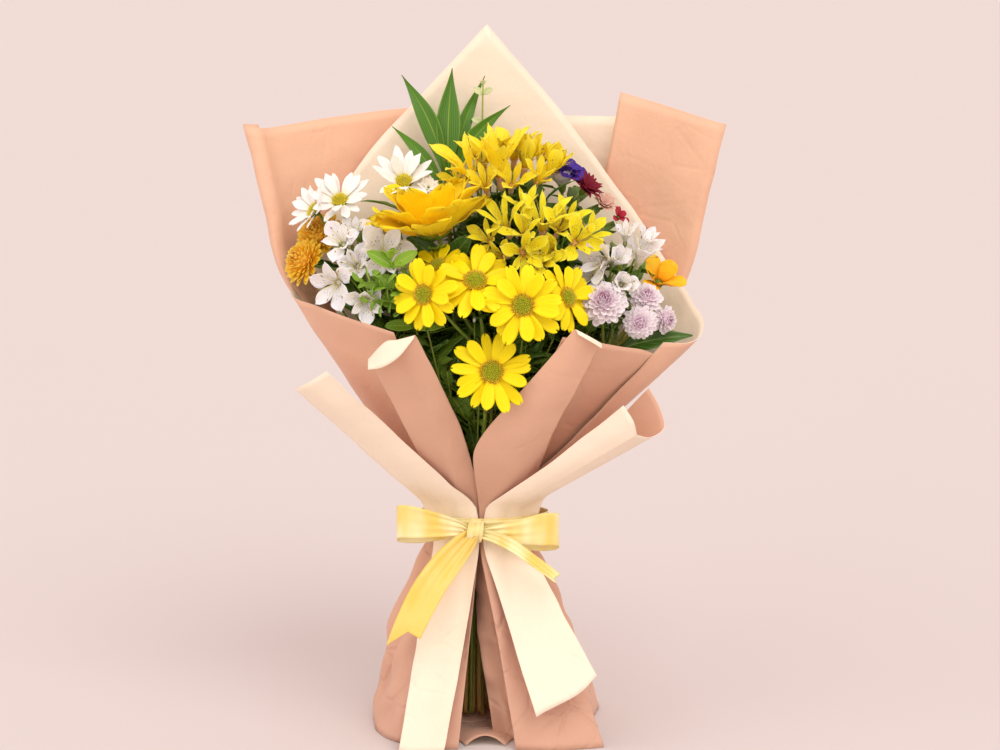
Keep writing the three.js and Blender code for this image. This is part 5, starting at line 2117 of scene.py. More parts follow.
def add_head(name: str, parts: Iterable[Shell], at: Point, face: Point, slot: str, node: str) -> None:
    """Makes the piece of a flower head from parts that face +Z.

    Args:
        name: The piece's name.
        parts: Its parts.
        at: Its middle.
        face: Where it looks.
        slot: The record's material slot.
        node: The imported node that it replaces.
    """
    place = frame_at(at, face)
    add_piece(name, [part.moved(place) for part in parts], slot, node)


@dataclass(frozen=True)
class DaisyForm:
    """What all daisies of a kind share.

    Attributes:
        name: The start of their nodes' names.
        petal: The petals' finish.
        disc: The disc florets' finish.
        slots: The record's slots of the petals and of the disc.
        outline: The petals' outline.
        wide: A petal's width as a share of its head's radius.
        tip: How squarely a petal ends.
        florets: How many florets are in the disc.
    """

    name: str
    petal: Finish
    disc: Finish
    slots: tuple[str, str]
    outline: tuple[float, ...]
    wide: float
    tip: float
    florets: int


class DaisyKind(Enum):
    """The kinds of daisy."""

    YELLOW = DaisyForm(
        "yellow_daisy", Finish.LEMON_PETAL, Finish.DAISY_DISC, ("lemon_petal", "daisy_disc"),
        (0.3, 0.72, 0.96, 1.0, 0.86), 0.36, 9, 170,
    )
    WHITE = DaisyForm(
        "white_daisy", Finish.WHITE_PETAL, Finish.WHITE_DAISY_DISC, ("white_petal", "white_daisy_disc"),
        (0.34, 0.7, 1.0, 0.95, 0.5), 0.3, 5, 90,
    )


@dataclass(frozen=True)
class Daisy:
    """A ray daisy: rings of petals, a dome of florets and the green cup behind.

    Attributes:
        number: Its number in its row of nodes.
        kind: Its kind.
        at: Its middle.
        face: Where it looks.
        size: Its radius.
        roll: Its turn about its face.
        rise: How far its petals stand up, in degrees.
        count: Its petals.
        disc: The disc's radius as a share of its size.
        slim: Its petals' width as a share of its kind's.
    """

    number: int
    kind: DaisyKind
    at: Point
    face: Point
    size: float
    roll: float = 0.0
    rise: float = 4.0
    count: int = 15
    disc: float = 0.27
    slim: float = 1.0

    def petals(self) -> list[Shell]:
        """The petals, in three rings of different blades, and the cup.

        Returns:
            Their parts, facing +Z.
        """
        form, size = self.kind.value, self.size
        wide = form.wide * size * self.slim
        base = Blade(
            0.8 * size, wide, form.outline, curl=-16, cup=0.14, notch=0.05, grooves=3,
            groove=0.025, wave=0.02, round_tip=form.tip, rows=12, columns=8,
        )
        rings = (
            (base, 0.9, 3),
            (replace(base, length=0.83 * size, width=0.92 * wide, curl=-8, notch=0.09, cup=0.2), 0.3, -2),
            (replace(base, length=0.74 * size, width=1.04 * wide, curl=-20, teeth=2, wave=0.035), 1.5, 14),
        )
        parts = [
            whorl(
                blade.shell(form.petal), form.petal, self.count // len(rings),
                Radius=0.19 * size * MM, Lift=lift * MM, Rise=math.radians(self.rise + lean),
                Start=math.radians(self.roll) + 2 * math.pi * k / self.count, Turn_Jitter=0.11,
                Rise_Jitter=0.15, Twist_Jitter=0.26, Size_Jitter=0.09, Bend_Jitter=0.09 * size * MM,
                Seed=101 * self.number + 7 * k + len(form.name),
            )
            for k, (blade, lift, lean) in enumerate(rings)
        ]
        profile = ((0.1, -4), (0.16 * size, -2.4), (0.24 * size, 0.2), (0.24 * size, 1.2), (0.1, 1.6))
        hub = lathe(profile, Finish.SEPAL, 14)
        sepal = Blade(0.2 * size, 0.1 * size, (0.9, 1, 0.7, 0.4), curl=20, rows=4, columns=2)
        return [*parts, hub, sepal_cup(sepal, 12, 0.13 * size, -2.6, 0.5, self.number)]

    def florets(self) -> list[Shell]:
        """The disc's florets on their dome.

        Returns:
            Their parts, facing +Z.
        """
        form, r = self.kind.value, self.disc * self.size
        profile = ((0.1, 0.9), (0.95 * r, 1.2), (r, 1.9), (0.8 * r, 2.6), (0.45 * r, 3.0), (0.05, 3.1))
        mound = lathe(profile, form.disc, 18)
        mound.ring[:] = 0.3
        floret = bud(1.9, 2.1 * r / math.sqrt(form.florets), form.disc)
        head = WHORL.grow(
            floret, form.disc, Count=form.florets, Turn=GOLDEN_TURN, Middle_Radius=0.0,
            Rim_Radius=1.0 * r * MM, Middle_Lift=1.5 * MM, Rim_Lift=1.4 * MM, Dome=0.28 * r * MM,
            Middle_Rise=1.57, Rim_Rise=0.9, Middle_Size=0.75, Rim_Size=1.15, Size_Jitter=0.2,
            Rise_Jitter=0.15, Twist_Jitter=0.3, Seed=self.number,
        )
        return [mound, head]

    def build(self) -> None:
        """Makes the petals' piece and the disc's."""
        form = self.kind.value
        node = f"{form.name}_{self.number}"
        add_head(f"{node}_rays", self.petals(), self.at, self.face, form.slots[0], f"{node}_petals")
        add_head(f"{node}_florets", self.florets(), self.at, self.face, form.slots[1], f"{node}_disc")


DAISIES = (
    Daisy(1, DaisyKind.YELLOW, (34, -94, 347), (-0.05, -0.99, 0.12), 30, roll=10),
    Daisy(2, DaisyKind.YELLOW, (-38, -88, 354), (-0.4, -0.9, 0.08), 27),
    Daisy(3, DaisyKind.YELLOW, (11, -86, 296), (0.05, -0.96, 0.22), 31, roll=5, slim=0.85),
    Daisy(4, DaisyKind.YELLOW, (-1, -80, 362), (0, -0.72, 0.69), 31, roll=14),
    Daisy(5, DaisyKind.YELLOW, (66, -78, 350), (0.62, -0.68, 0.32), 26),
    Daisy(6, DaisyKind.YELLOW, (-29, -60, 371), (-0.3, -0.5, 0.8), 23, roll=8),
    Daisy(1, DaisyKind.WHITE, (-105, -10, 415), (-0.1, -0.7, 0.7), 26, rise=26, disc=0.2),
    Daisy(2, DaisyKind.WHITE, (-124, -14, 408), (-0.7, -0.5, 0.5), 22, roll=9, rise=30, disc=0.22),
    Daisy(3, DaisyKind.WHITE, (-56, -18, 430), (0, -0.7, 0.72), 28, roll=4, rise=38, disc=0.2),
)


@dataclass(frozen=True)
class GoldenBloom:
    """The large golden bloom: three rings of broad toothed petals round a low boss.

    Attributes:
        at: Its middle.
        face: Where it looks.
        size: Its radius.
        rise: How far its outer petals stand up, in degrees.
    """

    at: Point = (-32, -46, 395)
    face: Point = (-0.14, -0.08, 1.0)
    size: float = 52.0
    rise: float = 31.0

    def build(self) -> None:
        """Makes the bloom's piece."""
        size, finish = self.size, Finish.GOLDEN_PETAL
        base = Blade(
            0.92 * size, 0.6 * size, (0.34, 0.66, 0.92, 1.0, 0.8), curl=-14, cup=0.22, notch=0.14, teeth=4,
            grooves=4, groove=0.014, wave=0.035, round_tip=20, thickness=0.4, rows=16, columns=14,
        )
        parts = []
        plans = (
            (base, 7, 0.0, -1.0, 0.0),
            (replace(base, length=0.9 * size, width=0.62 * size, curl=-10, teeth=3), 6, 0.5, 1.0, 16.0),
            (replace(base, length=0.8 * size, width=0.5 * size, curl=-6), 5, 0.2, 3.0, 33.0),
        )
        for k, (blade, count, start, lift, lean) in enumerate(plans):
            parts.append(whorl(
                blade.shell(finish), finish, count, Radius=0.15 * size * MM, Lift=lift * MM,
                Rise=math.radians(self.rise + lean), Start=start + 0.35, Turn_Jitter=0.16, Rise_Jitter=0.2,
                Twist_Jitter=0.3, Size_Jitter=0.09, Bend_Jitter=0.08 * size * MM, Seed=71 + k,
            ))
        profile = ((0.2, -6), (0.1 * size, -4), (0.18 * size, -1), (0.17 * size, 3), (0.3, 5))
        parts.append(lathe(profile, Finish.FREESIA_PETAL, 18))
        sepal = Blade(0.22 * size, 0.11 * size, (0.8, 1, 0.8, 0.3), curl=10, rows=8, columns=4)
        parts.append(sepal_cup(sepal, 9, 0.1 * size, -5, math.radians(self.rise - 4), 75))
        boss = bud(5, 2.2, Finish.DAISY_DISC)
        parts.append(WHORL.grow(
            boss, Finish.DAISY_DISC, Count=120, Turn=GOLDEN_TURN, Rim_Radius=0.17 * size * MM,
            Middle_Lift=3 * MM, Rim_Lift=2 * MM, Dome=4 * MM, Middle_Rise=1.57, Rim_Rise=0.8, Seed=78,
        ))
        add_head("golden_bloom_petals", parts, self.at, self.face, "golden_petal", "golden_bloom")


@dataclass(frozen=True)
class PomponForm:
    """What all pompons of a colour share.

    Attributes:
        finish: The florets' finish.
        slot: The record's material slot.
        slim: A floret's width as a share of the ball's radius.
        curl: How far a floret closes over, in degrees.
    """

    finish: Finish
    slot: str
    slim: float
    curl: float


class PomponKind(Enum):
    """The kinds of pompon."""

    ORANGE = PomponForm(Finish.ORANGE_POMPON, "orange_petal", 0.2, 40.0)
    LILAC = PomponForm(Finish.LILAC_POMPON, "lilac_petal", 0.3, 24.0)


@dataclass(frozen=True)
class Pompon:
    """A ball of short florets that close over its middle.

    Attributes:
        name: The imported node's name.
        kind: Its kind.
        at: Its middle.
        face: Where it looks.
        size: Its radius.
        count: Its florets.
    """

    name: str
    kind: PomponKind
    at: Point
    face: Point
    size: float
    count: int = 120

    def build(self) -> None:
        """Makes the pompon's piece."""
        size = self.size
        form = self.kind.value
        blade = Blade(
            0.5 * size, form.slim * size, (0.4, 0.8, 1, 0.9), curl=form.curl, cup=0.5, notch=0.08,
            groove=0.0, round_tip=5, thickness=0.3, rows=6, columns=4,
        )
        head = WHORL.grow(
            blade.shell(form.finish), form.finish, Count=self.count, Turn=GOLDEN_TURN,
            Middle_Radius=0.03 * size * MM, Rim_Radius=0.46 * size * MM, Middle_Lift=0.36 * size * MM,
            Rim_Lift=-0.12 * size * MM, Dome=0.1 * size * MM, Middle_Rise=1.5, Rim_Rise=-0.35,
            Middle_Size=0.5, Rim_Size=1.1, Size_Jitter=0.12, Rise_Jitter=0.12, Twist_Jitter=0.3,
            Turn_Jitter=0.05, Bend_Jitter=0.03 * size * MM, Seed=len(self.name) + int(size * 7),
        )
        core = lathe(((0.1, -0.34 * size), (0.3 * size, -0.24 * size), (0.44 * size, 0.0),
                      (0.34 * size, 0.3 * size), (0.1, 0.42 * size)), form.finish, 16)
        sepal = Blade(0.34 * size, 0.16 * size, (0.9, 1, 0.7, 0.3), curl=20, rows=4, columns=2)
        cup = sepal_cup(sepal, 11, 0.2 * size, -0.3 * size, 0.35, 5)
        add_head(f"{self.name}_florets", (head, core, cup), self.at, self.face, form.slot, self.name)


POMPONS = (
    Pompon("orange_pompon_1", PomponKind.ORANGE, (-122, -1, 388), (-0.4, -0.66, 0.64), 21),
    Pompon("orange_pompon_2", PomponKind.ORANGE, (-133, -18, 370), (-0.66, -0.6, 0.45), 20),
    Pompon("lilac_pompon_1", PomponKind.LILAC, (94, -66, 345), (0, -0.85, 0.5), 19, 90),
    Pompon("lilac_pompon_2", PomponKind.LILAC, (127, -48, 346), (0.1, -0.75, 0.6), 14, 64),
    Pompon("lilac_pompon_3", PomponKind.LILAC, (122, -60, 329), (-0.1, -0.95, 0.1), 14, 64),
    Pompon("lilac_pompon_4", PomponKind.LILAC, (142, -44, 329), (0.6, -0.75, 0), 12, 56),
)


@dataclass(frozen=True)
class Trumpet:
    """One lily-like floret of a spray.

    Attributes:
        at: Its middle.
        face: Where it looks.
        size: About its radius.
        roll: Its turn about its face, in degrees.
        open: How far its petals stand up, in degrees.
        reach: A petal's length as a share of its size.
        broad: A broad petal's width as a share of its size.
        curl: How far a petal bends, in degrees; below 0 it bends outwards.
        slim: A narrow petal's width as a share of a broad one's.
    """

    at: Point
    face: Point
    size: float
    roll: float = 0.0
    open: float = 52.0
    reach: float = 1.06
    broad: float = 0.62
    curl: float = -50.0
    slim: float = 0.64

    def shells(self, petal: Finish, tube: Finish, meet: Point, seed: int) -> list[Shell]:
        """Builds the floret and its stalk.

        Args:
            petal: The petals' finish.
            tube: The finish of its tube.
            meet: Where the spray's stalks meet.
            seed: The seed of its draws.

        Returns:
            Its parts, in place.
        """
        size = self.size
        broad = Blade(
            self.reach * size, self.broad * size, (0.24, 0.42, 0.78, 1.0, 0.84), curl=self.curl, cup=0.26,
            notch=-0.06, grooves=2, groove=0.02, wave=0.045, waves=2, round_tip=3.4, rows=13, columns=8,
        )
        narrow = replace(
            broad, length=0.92 * self.reach * size, width=self.slim * self.broad * size,
            curl=0.8 * self.curl, cup=0.32, round_tip=3,
        )
        parts = []
        for k, (blade, lean, lift) in enumerate(((broad, 0.0, 0.0), (narrow, 9.0, 0.5))):
            parts.append(whorl(
                blade.shell(petal), petal, 3, Radius=0.12 * size * MM, Lift=lift * MM,
                Rise=math.radians(self.open + lean), Start=math.radians(self.roll) + k * math.pi / 3,
                Turn_Jitter=0.16, Rise_Jitter=0.16, Twist_Jitter=0.2, Size_Jitter=0.08,
                Bend_Jitter=0.1 * size * MM, Seed=seed + k,
            ))
        neck = lathe(((0.03 * size, -0.5 * size), (0.12 * size, -0.4 * size), (0.11 * size, -0.24 * size),
                      (0.1 * size, -0.1 * size), (0.16 * size, 0.03 * size), (0.02, 0.06 * size)),
                     tube, 12, 0.08)
        thread = stamen(0.85 * size, -34)
        threads = whorl(thread, Finish.STAMEN, 5, Radius=0.05 * size * MM, Rise=1.25, Rise_Jitter=0.16,
                        Turn_Jitter=0.4, Size_Jitter=0.1, Start=0.4, Seed=seed + 5)
        threads.marks[:, 0] = np.tile(thread.marks[:, 0], 5)
        place = frame_at(self.at, self.face)
        tail = Vector(under(self.at, self.face, 0.42 * size))
        bend = Vector(under(self.at, self.face, 0.9 * size))
        stem = stalk([meet, bend.lerp(Vector(meet), 0.25), bend.lerp(tail, 0.4), tail], Finish.FRESH_STEM,
                     0.9, 0.8, Sides=7)
        return [*(part.moved(place) for part in (*parts, neck, threads)), stem]


@dataclass(frozen=True)
class Spray:
    """A spray of trumpets whose stalks meet in one place.

    Attributes:
        name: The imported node's name.
        slot: The record's material slot.
        meet: Where the stalks meet.
        florets: Its trumpets.
        petal: Their petals' finish.
        tube: Their tubes' finish.
        seed: The seed of its draws.
    """

    name: str
    slot: str
    meet: Point
    florets: tuple[Trumpet, ...]
    petal: Finish
    tube: Finish
    seed: int

    def build(self) -> None:
        """Makes the spray's piece."""
        parts = []
        for k, floret in enumerate(self.florets):
            parts += floret.shells(self.petal, self.tube, self.meet, self.seed + 7 * k)
        add_piece(f"{self.name}_florets", parts, self.slot, self.name)


SPRAYS = (
    Spray("yellow_alstroemeria_top", "yellow_petal", (14, 0, 408), (
        Trumpet((-4, -22, 434), (-0.36, -0.3, 0.88), 25, 10, 72, 1.5, 0.5, -42),
        Trumpet((17, -24, 435), (-0.14, -0.3, 0.95), 25, 40, 74, 1.6, 0.5, -44),
        Trumpet((36, -12, 441), (0.12, -0.3, 0.95), 22, 20, 72, 1.25, 0.76, 10),
        Trumpet((54, -14, 437), (0.5, -0.35, 0.8), 20, 0, 70, 1.2, 0.8, 14),
        Trumpet((4, -6, 440), (-0.06, -0.2, 0.97), 22, 60, 66, 1.35, 0.6, -36),
        Trumpet((28, 2, 446), (0.05, -0.2, 0.97), 20, 15, 66, 1.3, 0.64, -30),
        Trumpet((48, 0, 442), (0.3, -0.2, 0.93), 16, 80, 68, 1.25, 0.66, -20),
        Trumpet((-12, -16, 428), (-0.6, -0.3, 0.74), 15, 25, 68, 1.3, 0.5, -40),
        Trumpet((7, -28, 426), (-0.2, -0.6, 0.76), 17, 35, 62, 1.3, 0.62, -34),
        Trumpet((26, -26, 428), (0.1, -0.6, 0.78), 17, 5, 62, 1.3, 0.66, -30),
        Trumpet((45, -20, 430), (0.3, -0.5, 0.8), 16, 50, 62, 1.3, 0.7, -20),
        Trumpet((14, 6, 446), (-0.1, -0.2, 0.95), 18, 75, 64, 1.3, 0.64, -30),
    ), Finish.YELLOW_LILY_PETAL, Finish.LILY_TUBE, 81),
    Spray("yellow_alstroemeria_middle", "yellow_petal", (40, -30, 366), (
        Trumpet((22, -50, 398), (-0.3, -0.55, 0.78), 21, 0, 62, 1.35, 0.46, -36),
        Trumpet((49, -48, 397), (0.1, -0.5, 0.86), 22, 30, 62, 1.45, 0.46, -40),
        Trumpet((73, -54, 388), (0.4, -0.85, 0.36), 18, 10, 52, 1.2, 0.74, -30),
        Trumpet((34, -64, 382), (0.15, -0.95, -0.15), 19, 45, 48, 1.3, 0.68, -26),
        Trumpet((58, -60, 382), (-0.35, -0.88, 0.3), 16, 70, 56, 1.15, 0.78, -16),
        Trumpet((20, -56, 378), (-0.5, -0.8, 0.1), 15, 20, 54, 1.25, 0.66, -26),
        Trumpet((36, -42, 408), (-0.05, -0.45, 0.9), 15, 50, 66, 1.5, 0.5, -36),
        Trumpet((66, -42, 402), (0.35, -0.5, 0.8), 15, 15, 64, 1.35, 0.56, -34),
        Trumpet((35, -58, 394), (-0.1, -0.75, 0.65), 17, 65, 56, 1.3, 0.66, -30),
        Trumpet((60, -50, 396), (0.2, -0.7, 0.7), 16, 40, 56, 1.3, 0.7, -26),
        Trumpet((10, -48, 388), (-0.4, -0.7, 0.6), 15, 10, 56, 1.3, 0.66, -30),
        Trumpet((82, -46, 392), (0.5, -0.6, 0.6), 15, 60, 56, 1.3, 0.66, -26),
        Trumpet((48, -62, 374), (0.05, -0.9, 0.35), 15, 20, 54, 1.3, 0.7, -26),
    ), Finish.LIME_LILY_PETAL, Finish.LILY_TUBE, 121),
    Spray("white_alstroemeria_left", "white_petal", (-82, -26, 338), (
        Trumpet((-70, -52, 378), (0.05, -0.9, 0.42), 22, 0, 50, 1.12, 0.92, -34, 0.7),
        Trumpet((-104, -48, 358), (-0.35, -0.88, -0.15), 20, 20, 52, 1.15, 0.84, -34, 0.7),
        Trumpet((-84, -60, 347), (0.1, -0.98, -0.16), 16, 40, 56, 1.2, 0.86, -24),
        Trumpet((-101, -34, 384), (-0.2, -0.82, 0.5), 17, 0, 56, 1.15, 0.9, -26),
        Trumpet((-90, -44, 369), (-0.15, -0.9, 0.3), 17, 50, 58, 1.15, 0.9, -22),
        Trumpet((-56, -48, 368), (0.4, -0.85, 0.2), 15, 30, 56, 1.15, 0.9, -26),
        Trumpet((-92, -28, 392), (-0.1, -0.7, 0.7), 13, 10, 62, 1.15, 0.86, -26),
        Trumpet((-76, -40, 390), (0.1, -0.6, 0.75), 14, 30, 60, 1.15, 0.86, -26),
    ), Finish.LILY_PETAL, Finish.WHITE_TUBE, 161),
    Spray("white_alstroemeria_right", "white_petal", (104, -22, 338), (
        Trumpet((97, -46, 374), (-0.6, -0.78, 0.05), 20, 0, 62, 1.3, 0.72, -26),
        Trumpet((122, -30, 370), (0.25, -0.45, 0.85), 20, 20, 66, 1.35, 0.66, -30),
        Trumpet((108, -50, 356), (0.1, -0.9, 0.35), 15, 0, 64, 1.15, 1.0, -6, 0.8),
        Trumpet((104, -44, 372), (0.3, -0.8, 0.5), 14, 50, 66, 1.2, 0.9, -8, 0.8),
        Trumpet((112, -32, 388), (0.0, -0.6, 0.8), 13, 30, 66, 1.2, 0.6, -30),
        Trumpet((90, -40, 362), (-0.4, -0.85, 0.3), 15, 40, 58, 1.2, 0.84, -20),
        Trumpet((126, -26, 384), (0.4, -0.5, 0.8), 13, 70, 64, 1.2, 0.7, -26),
    ), Finish.LILY_PETAL, Finish.WHITE_TUBE, 201),
)


@dataclass(frozen=True)
class Rosette:
    """A small cup of petals, open and upright by turns.

    Attributes:
        name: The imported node's name.
        slot: The record's material slot.
        finish: The petals' finish.
        at: Its middle.
        face: Where it looks.
        size: Its radius.
        rise: How far its outer petals stand up, in degrees.
        count: Its petals, or each ring's where it has more than two rings.
        pointed: Whether its petals end in a point.
        rings: Its rings of petals.
        curl: How far a petal bends, in degrees.
        twist: How unevenly its petals turn about themselves, in radians.
        broad: The sum of its petals' widths as a share of its size.
    """

    name: str
    slot: str
    finish: Finish
    at: Point
    face: Point
    size: float
    rise: float = 30.0
    count: int = 6
    pointed: bool = False
    rings: int = 2
    curl: float = -24.0
    twist: float = 0.1
    broad: float = 3.6

    def build(self) -> None:
        """Makes the rosette's piece."""
        size = self.size
        outline = (0.4, 0.8, 1.0, 0.8, 0.4) if self.pointed else (0.36, 0.7, 0.95, 1.0, 0.8)
        base = Blade(
            0.9 * size, self.broad * size / self.count, outline, curl=self.curl, cup=0.25, notch=0.03,
            wave=0.035, round_tip=2.4 if self.pointed else 7, rows=10, columns=6,
        )
        parts = []
        for k in range(self.rings):
            blade = replace(base, length=(0.9 - 0.13 * k) * size)
            each = self.count if self.rings > 2 else self.count // 2 + self.count % 2
            parts.append(whorl(
                blade.shell(self.finish), self.finish, each, Radius=(0.16 - 0.03 * k) * size * MM,
                Lift=0.3 * k * MM, Rise=math.radians(self.rise + (24 / max(1, self.rings - 1)) * k),
                Start=k * math.pi / each, Turn_Jitter=0.1, Rise_Jitter=0.12, Twist_Jitter=self.twist,
                Size_Jitter=0.08, Bend_Jitter=0.06 * size * MM, Seed=301 + 9 * k + len(self.name),
            ))
        profile = ((0.1, -0.5 * size), (0.16 * size, -0.3 * size), (0.2 * size, 0), (0.1, 0.1 * size))
        parts.append(lathe(profile, Finish.SEPAL, 12))
        add_head(f"{self.name}_petals_fine", parts, self.at, self.face, self.slot, self.name)


ROSETTES = (
    Rosette("lisianthus_base", "pale_purple_petal", Finish.PALE_CUP, (65, -2, 427), (0, -0.25, 0.97),
            16, 64, rings=3, curl=12, broad=5.4),
    Rosette("lisianthus_petals", "purple_petal", Finish.VIOLET_PETAL, (69, -1, 437), (0.4, -0.35, 0.85),
            15, 34, 7, rings=3, curl=-46, twist=0.7, broad=5.0),
    Rosette("burgundy_bloom", "burgundy_petal", Finish.BURGUNDY_PETAL, (82, -6, 424), (0.5, -0.5, 0.7),
            15, 40, pointed=True, count=9, rings=3, broad=3.2),
    Rosette("blush_bloom", "blush_petal", Finish.BLUSH_PETAL, (96, -6, 412), (0.4, -0.6, 0.7),
            12, 44, pointed=True, count=9, rings=3),
    Rosette("red_bloom", "red_petal", Finish.RED_PETAL, (108, -4, 402), (0.5, -0.6, 0.6), 9),
    Rosette("orange_freesia", "golden_petal", Finish.FREESIA_PETAL, (138, -20, 354), (0.3, -0.6, 0.75),
            22, 36),
    Rosette("white_bud_head", "white_petal", Finish.WHITE_PETAL, (-37, -28, 427), (0.2, -0.8, 0.5),
            9, pointed=True, count=8, rings=3),
)


class Blooms:
    """Every flower head of the bouquet."""

    def build(self) -> None:
        """Makes the heads."""
        for bloom in (*DAISIES, GoldenBloom(), *POMPONS, *SPRAYS, *ROSETTES):
            bloom.build()


# ------------------------------------------------------------------ stems and foliage
STEM_SPACING = 2.75
STEM_MM = 2.0
FOOT_SPREAD_X = 1.8      # how far a stem stands out at its foot, as a share of its place in the tie
FOOT_SPREAD_Y = 1.4
FOOT_FORWARD = 2.0
CUT_LOW, CUT_RANGE = 3.0, 7.0
TIE_TOP = 185.0
# The space for leaves: how it widens above the tie, and the most that it may be.
FAN_FOOT, FAN_TOP, RIM_HEIGHT = 178.0, 320.0, 316.0
NARROWEST_X, WIDEST_LEFT, WIDEST_RIGHT = 19.0, 90.0, 112.0
MOST_LEFT, MOST_RIGHT, MOST_BACK = 134.0, 146.0, 34.0
# Where the golden bloom's stem ends, just under its cup.
GOLDEN_NECK = under((-30, -46, 398), (-0.15, -0.32, 0.93), 7)


class LeafForm(Enum):
    """The kinds of leaf, at their usual sizes."""

    LANCE = Blade(
        40, 12, (0.25, 0.7, 1.0, 0.8, 0.35), curl=-30, cup=0.1, fold=0.25, wave=0.03, waves=3,
        round_tip=3, rows=10, columns=6, thickness=0.4,
    )
    ROUND = Blade(
        24, 15, (0.4, 0.85, 1.0, 0.95, 0.7), curl=-20, cup=0.3, wave=0.02, round_tip=4, rows=9,
        columns=6, thickness=0.4,
    )
    LOBED = Blade(
        38, 20, (0.2, 0.75, 0.6, 1.0, 0.62, 0.8, 0.4), curl=-34, cup=0.1, fold=0.2, wave=0.06,
        waves=4, round_tip=3, rows=14, columns=8, thickness=0.4,
    )
    TALL = Blade(
        90, 17, (0.14, 0.26, 0.6, 0.94, 1.0, 0.8, 0.46, 0.12), curl=-12, cup=0.0, fold=0.3, wave=0.07,
        waves=1.4, round_tip=3, rows=24, columns=8, thickness=0.45,
    )


def kept_in(shell: Shell) -> Shell:
    """Presses leaves inwards where they would reach through the wrapper.

    Args:
        shell: The leaves.

    Returns:
        The same leaves, inside the space that the wrapper leaves them.
    """
    return replace(shell, points=inside(shell.points / MM) * MM)


def inside(points: np.ndarray) -> np.ndarray:
    """Moves points level towards the neck's axis until they lie inside the wrapper.

    Args:
        points: Places in millimetres.

    Returns:
        The places, moved where they have to be.
    """
    x, y, z = points[:, 0] - NECK_X, points[:, 1], points[:, 2]
    share = np.maximum((z - FAN_FOOT) / (FAN_TOP - FAN_FOOT), 0)
    over = 1 + np.maximum(z - RIM_HEIGHT, 0) / 130
    wide = (NARROWEST_X + (np.where(x < 0, WIDEST_LEFT, WIDEST_RIGHT) - NARROWEST_X) * share) * over
    wide = np.minimum(wide, np.where(x < 0, MOST_LEFT, MOST_RIGHT))
    deep = np.where(y < 0, (10 + 60 * share) * over, np.minimum(8 + 16 * share, MOST_BACK))
    out = np.maximum(np.hypot(x / wide, y / deep), 1)
    return np.stack([NECK_X + x / out, y / out, z], axis=-1)


@dataclass(frozen=True)
class Leaf:
    """A single leaf from its base to its tip.

    Attributes:
        base: Where it leaves its stem.
        tip: Where its tip is.
        width: Its width.
        normal: Roughly where its upper face looks.
        form: Its form.
        finish: Its finish.
        sway: How far it bends sideways, as a share of its length.
    """

    base: Point
    tip: Point
    width: float
    normal: Point
    form: LeafForm = LeafForm.LANCE
    finish: Finish = Finish.DARK_LEAF
    sway: float = 0.03

    def shell(self, chance: float) -> Shell:
        """Builds the leaf in its place.

        Args:
            chance: Its draw for the colour's variation.

        Returns:
            The leaf.
        """
        length = (Vector(self.tip) - Vector(self.base)).length
        blade = replace(self.form.value, length=1.03 * length, width=self.width, sway=self.sway)
        return laid(blade.shell(self.finish), self.base, self.tip, self.normal, length, chance)


@dataclass(frozen=True)
class LeafyStem:
    """A stem with its branches, its single leaves and its smaller leaves.

    Attributes:
        name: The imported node's name.
        number: Its number in the tie, which also seeds its draws.
        way: The points that it passes above the tie.
        branches: Pairs of a point's number in way and a branch's end.
        leaves: Its single leaves.
        small: How many smaller leaves it has.
        finish: Its finish.
    """

    name: str
    number: int
    way: tuple[Point, ...]
    branches: tuple[tuple[int, Point], ...] = ()
    leaves: tuple[Leaf, ...] = ()
    small: int = 7
    finish: Finish = Finish.STEM

    def build(self, slots: list[tuple[float, float]]) -> None:
        """Makes the stem's piece.

        Args:
            slots: The place in the tie of each stem.
        """
        draw = np.random.default_rng(500 + self.number)
        line = stem_way(slots[self.number], self.number, self.way)
        parts = [stalk(line, self.finish, STEM_MM, 1.5, Sides=12, Knobs=0.0011, Seed=self.number)]
        for k, (fork, end) in enumerate(self.branches):
            start = self.way[fork]
            middle = tuple(Vector(start).lerp(Vector(end), 0.55) + Vector((0, 2, -2)))
            parts.append(stalk([start, middle, end], self.finish, 1.4, 1.1, Sides=9, Knobs=0.0005,
                               Seed=self.number + k))
        parts += [leaf.shell(float(draw.random())) for leaf in self.leaves]
        if self.small:
            form = (LeafForm.LOBED if self.number % 2 else LeafForm.LANCE).value
            parts.append(kept_in(leaves_up(
                line, form.shell(Finish.DARK_LEAF), Finish.DARK_LEAF, Count=self.small, From=0.5, To=0.94,
                Start=1.3 * self.number, Rise=0.85, Rise_Jitter=0.3, Low_Size=0.9, High_Size=0.75,
                Size_Jitter=0.2, Seed=500 + self.number,
            )))
        add_piece(f"{self.name}_fine", parts, "leaf", self.name)


def below(bloom: Daisy | Pompon | Rosette, drop: float) -> Point:
    """The place straight behind a bloom, at a distance in millimetres."""
    return under(bloom.at, bloom.face, drop)


def under_daisy(kind: DaisyKind, number: int) -> Point:
    """The place where a daisy's branch ends."""
    return below(next(d for d in DAISIES if d.kind is kind and d.number == number), 4)


def tie_slot(k: int) -> tuple[float, float]:
    """A place in the tie, close together in a round bundle."""
    reach = STEM_SPACING * math.sqrt(k + 0.4)
    return (reach * math.cos(GOLDEN_TURN * k), reach * math.sin(GOLDEN_TURN * k))


def slots_for(ends: Sequence[Point]) -> list[tuple[float, float]]:
    """The nearest free place in the tie for each stem, the outermost stem first.

    Args:
        ends: Where each stem ends above the tie.

    Returns:
        A place in the tie for each stem.
    """
    free = [tie_slot(k) for k in range(len(ends))]
    wishes = [(x / 14, (y + 22) / 6) for x, y, _ in ends]
    taken: dict[int, tuple[float, float]] = {}
    for k in sorted(range(len(ends)), key=lambda n: -math.hypot(*wishes[n])):
        free.sort(key=lambda spot: math.dist(spot, wishes[k]))
        taken[k] = free.pop(0)
    return [taken[k] for k in range(len(ends))]


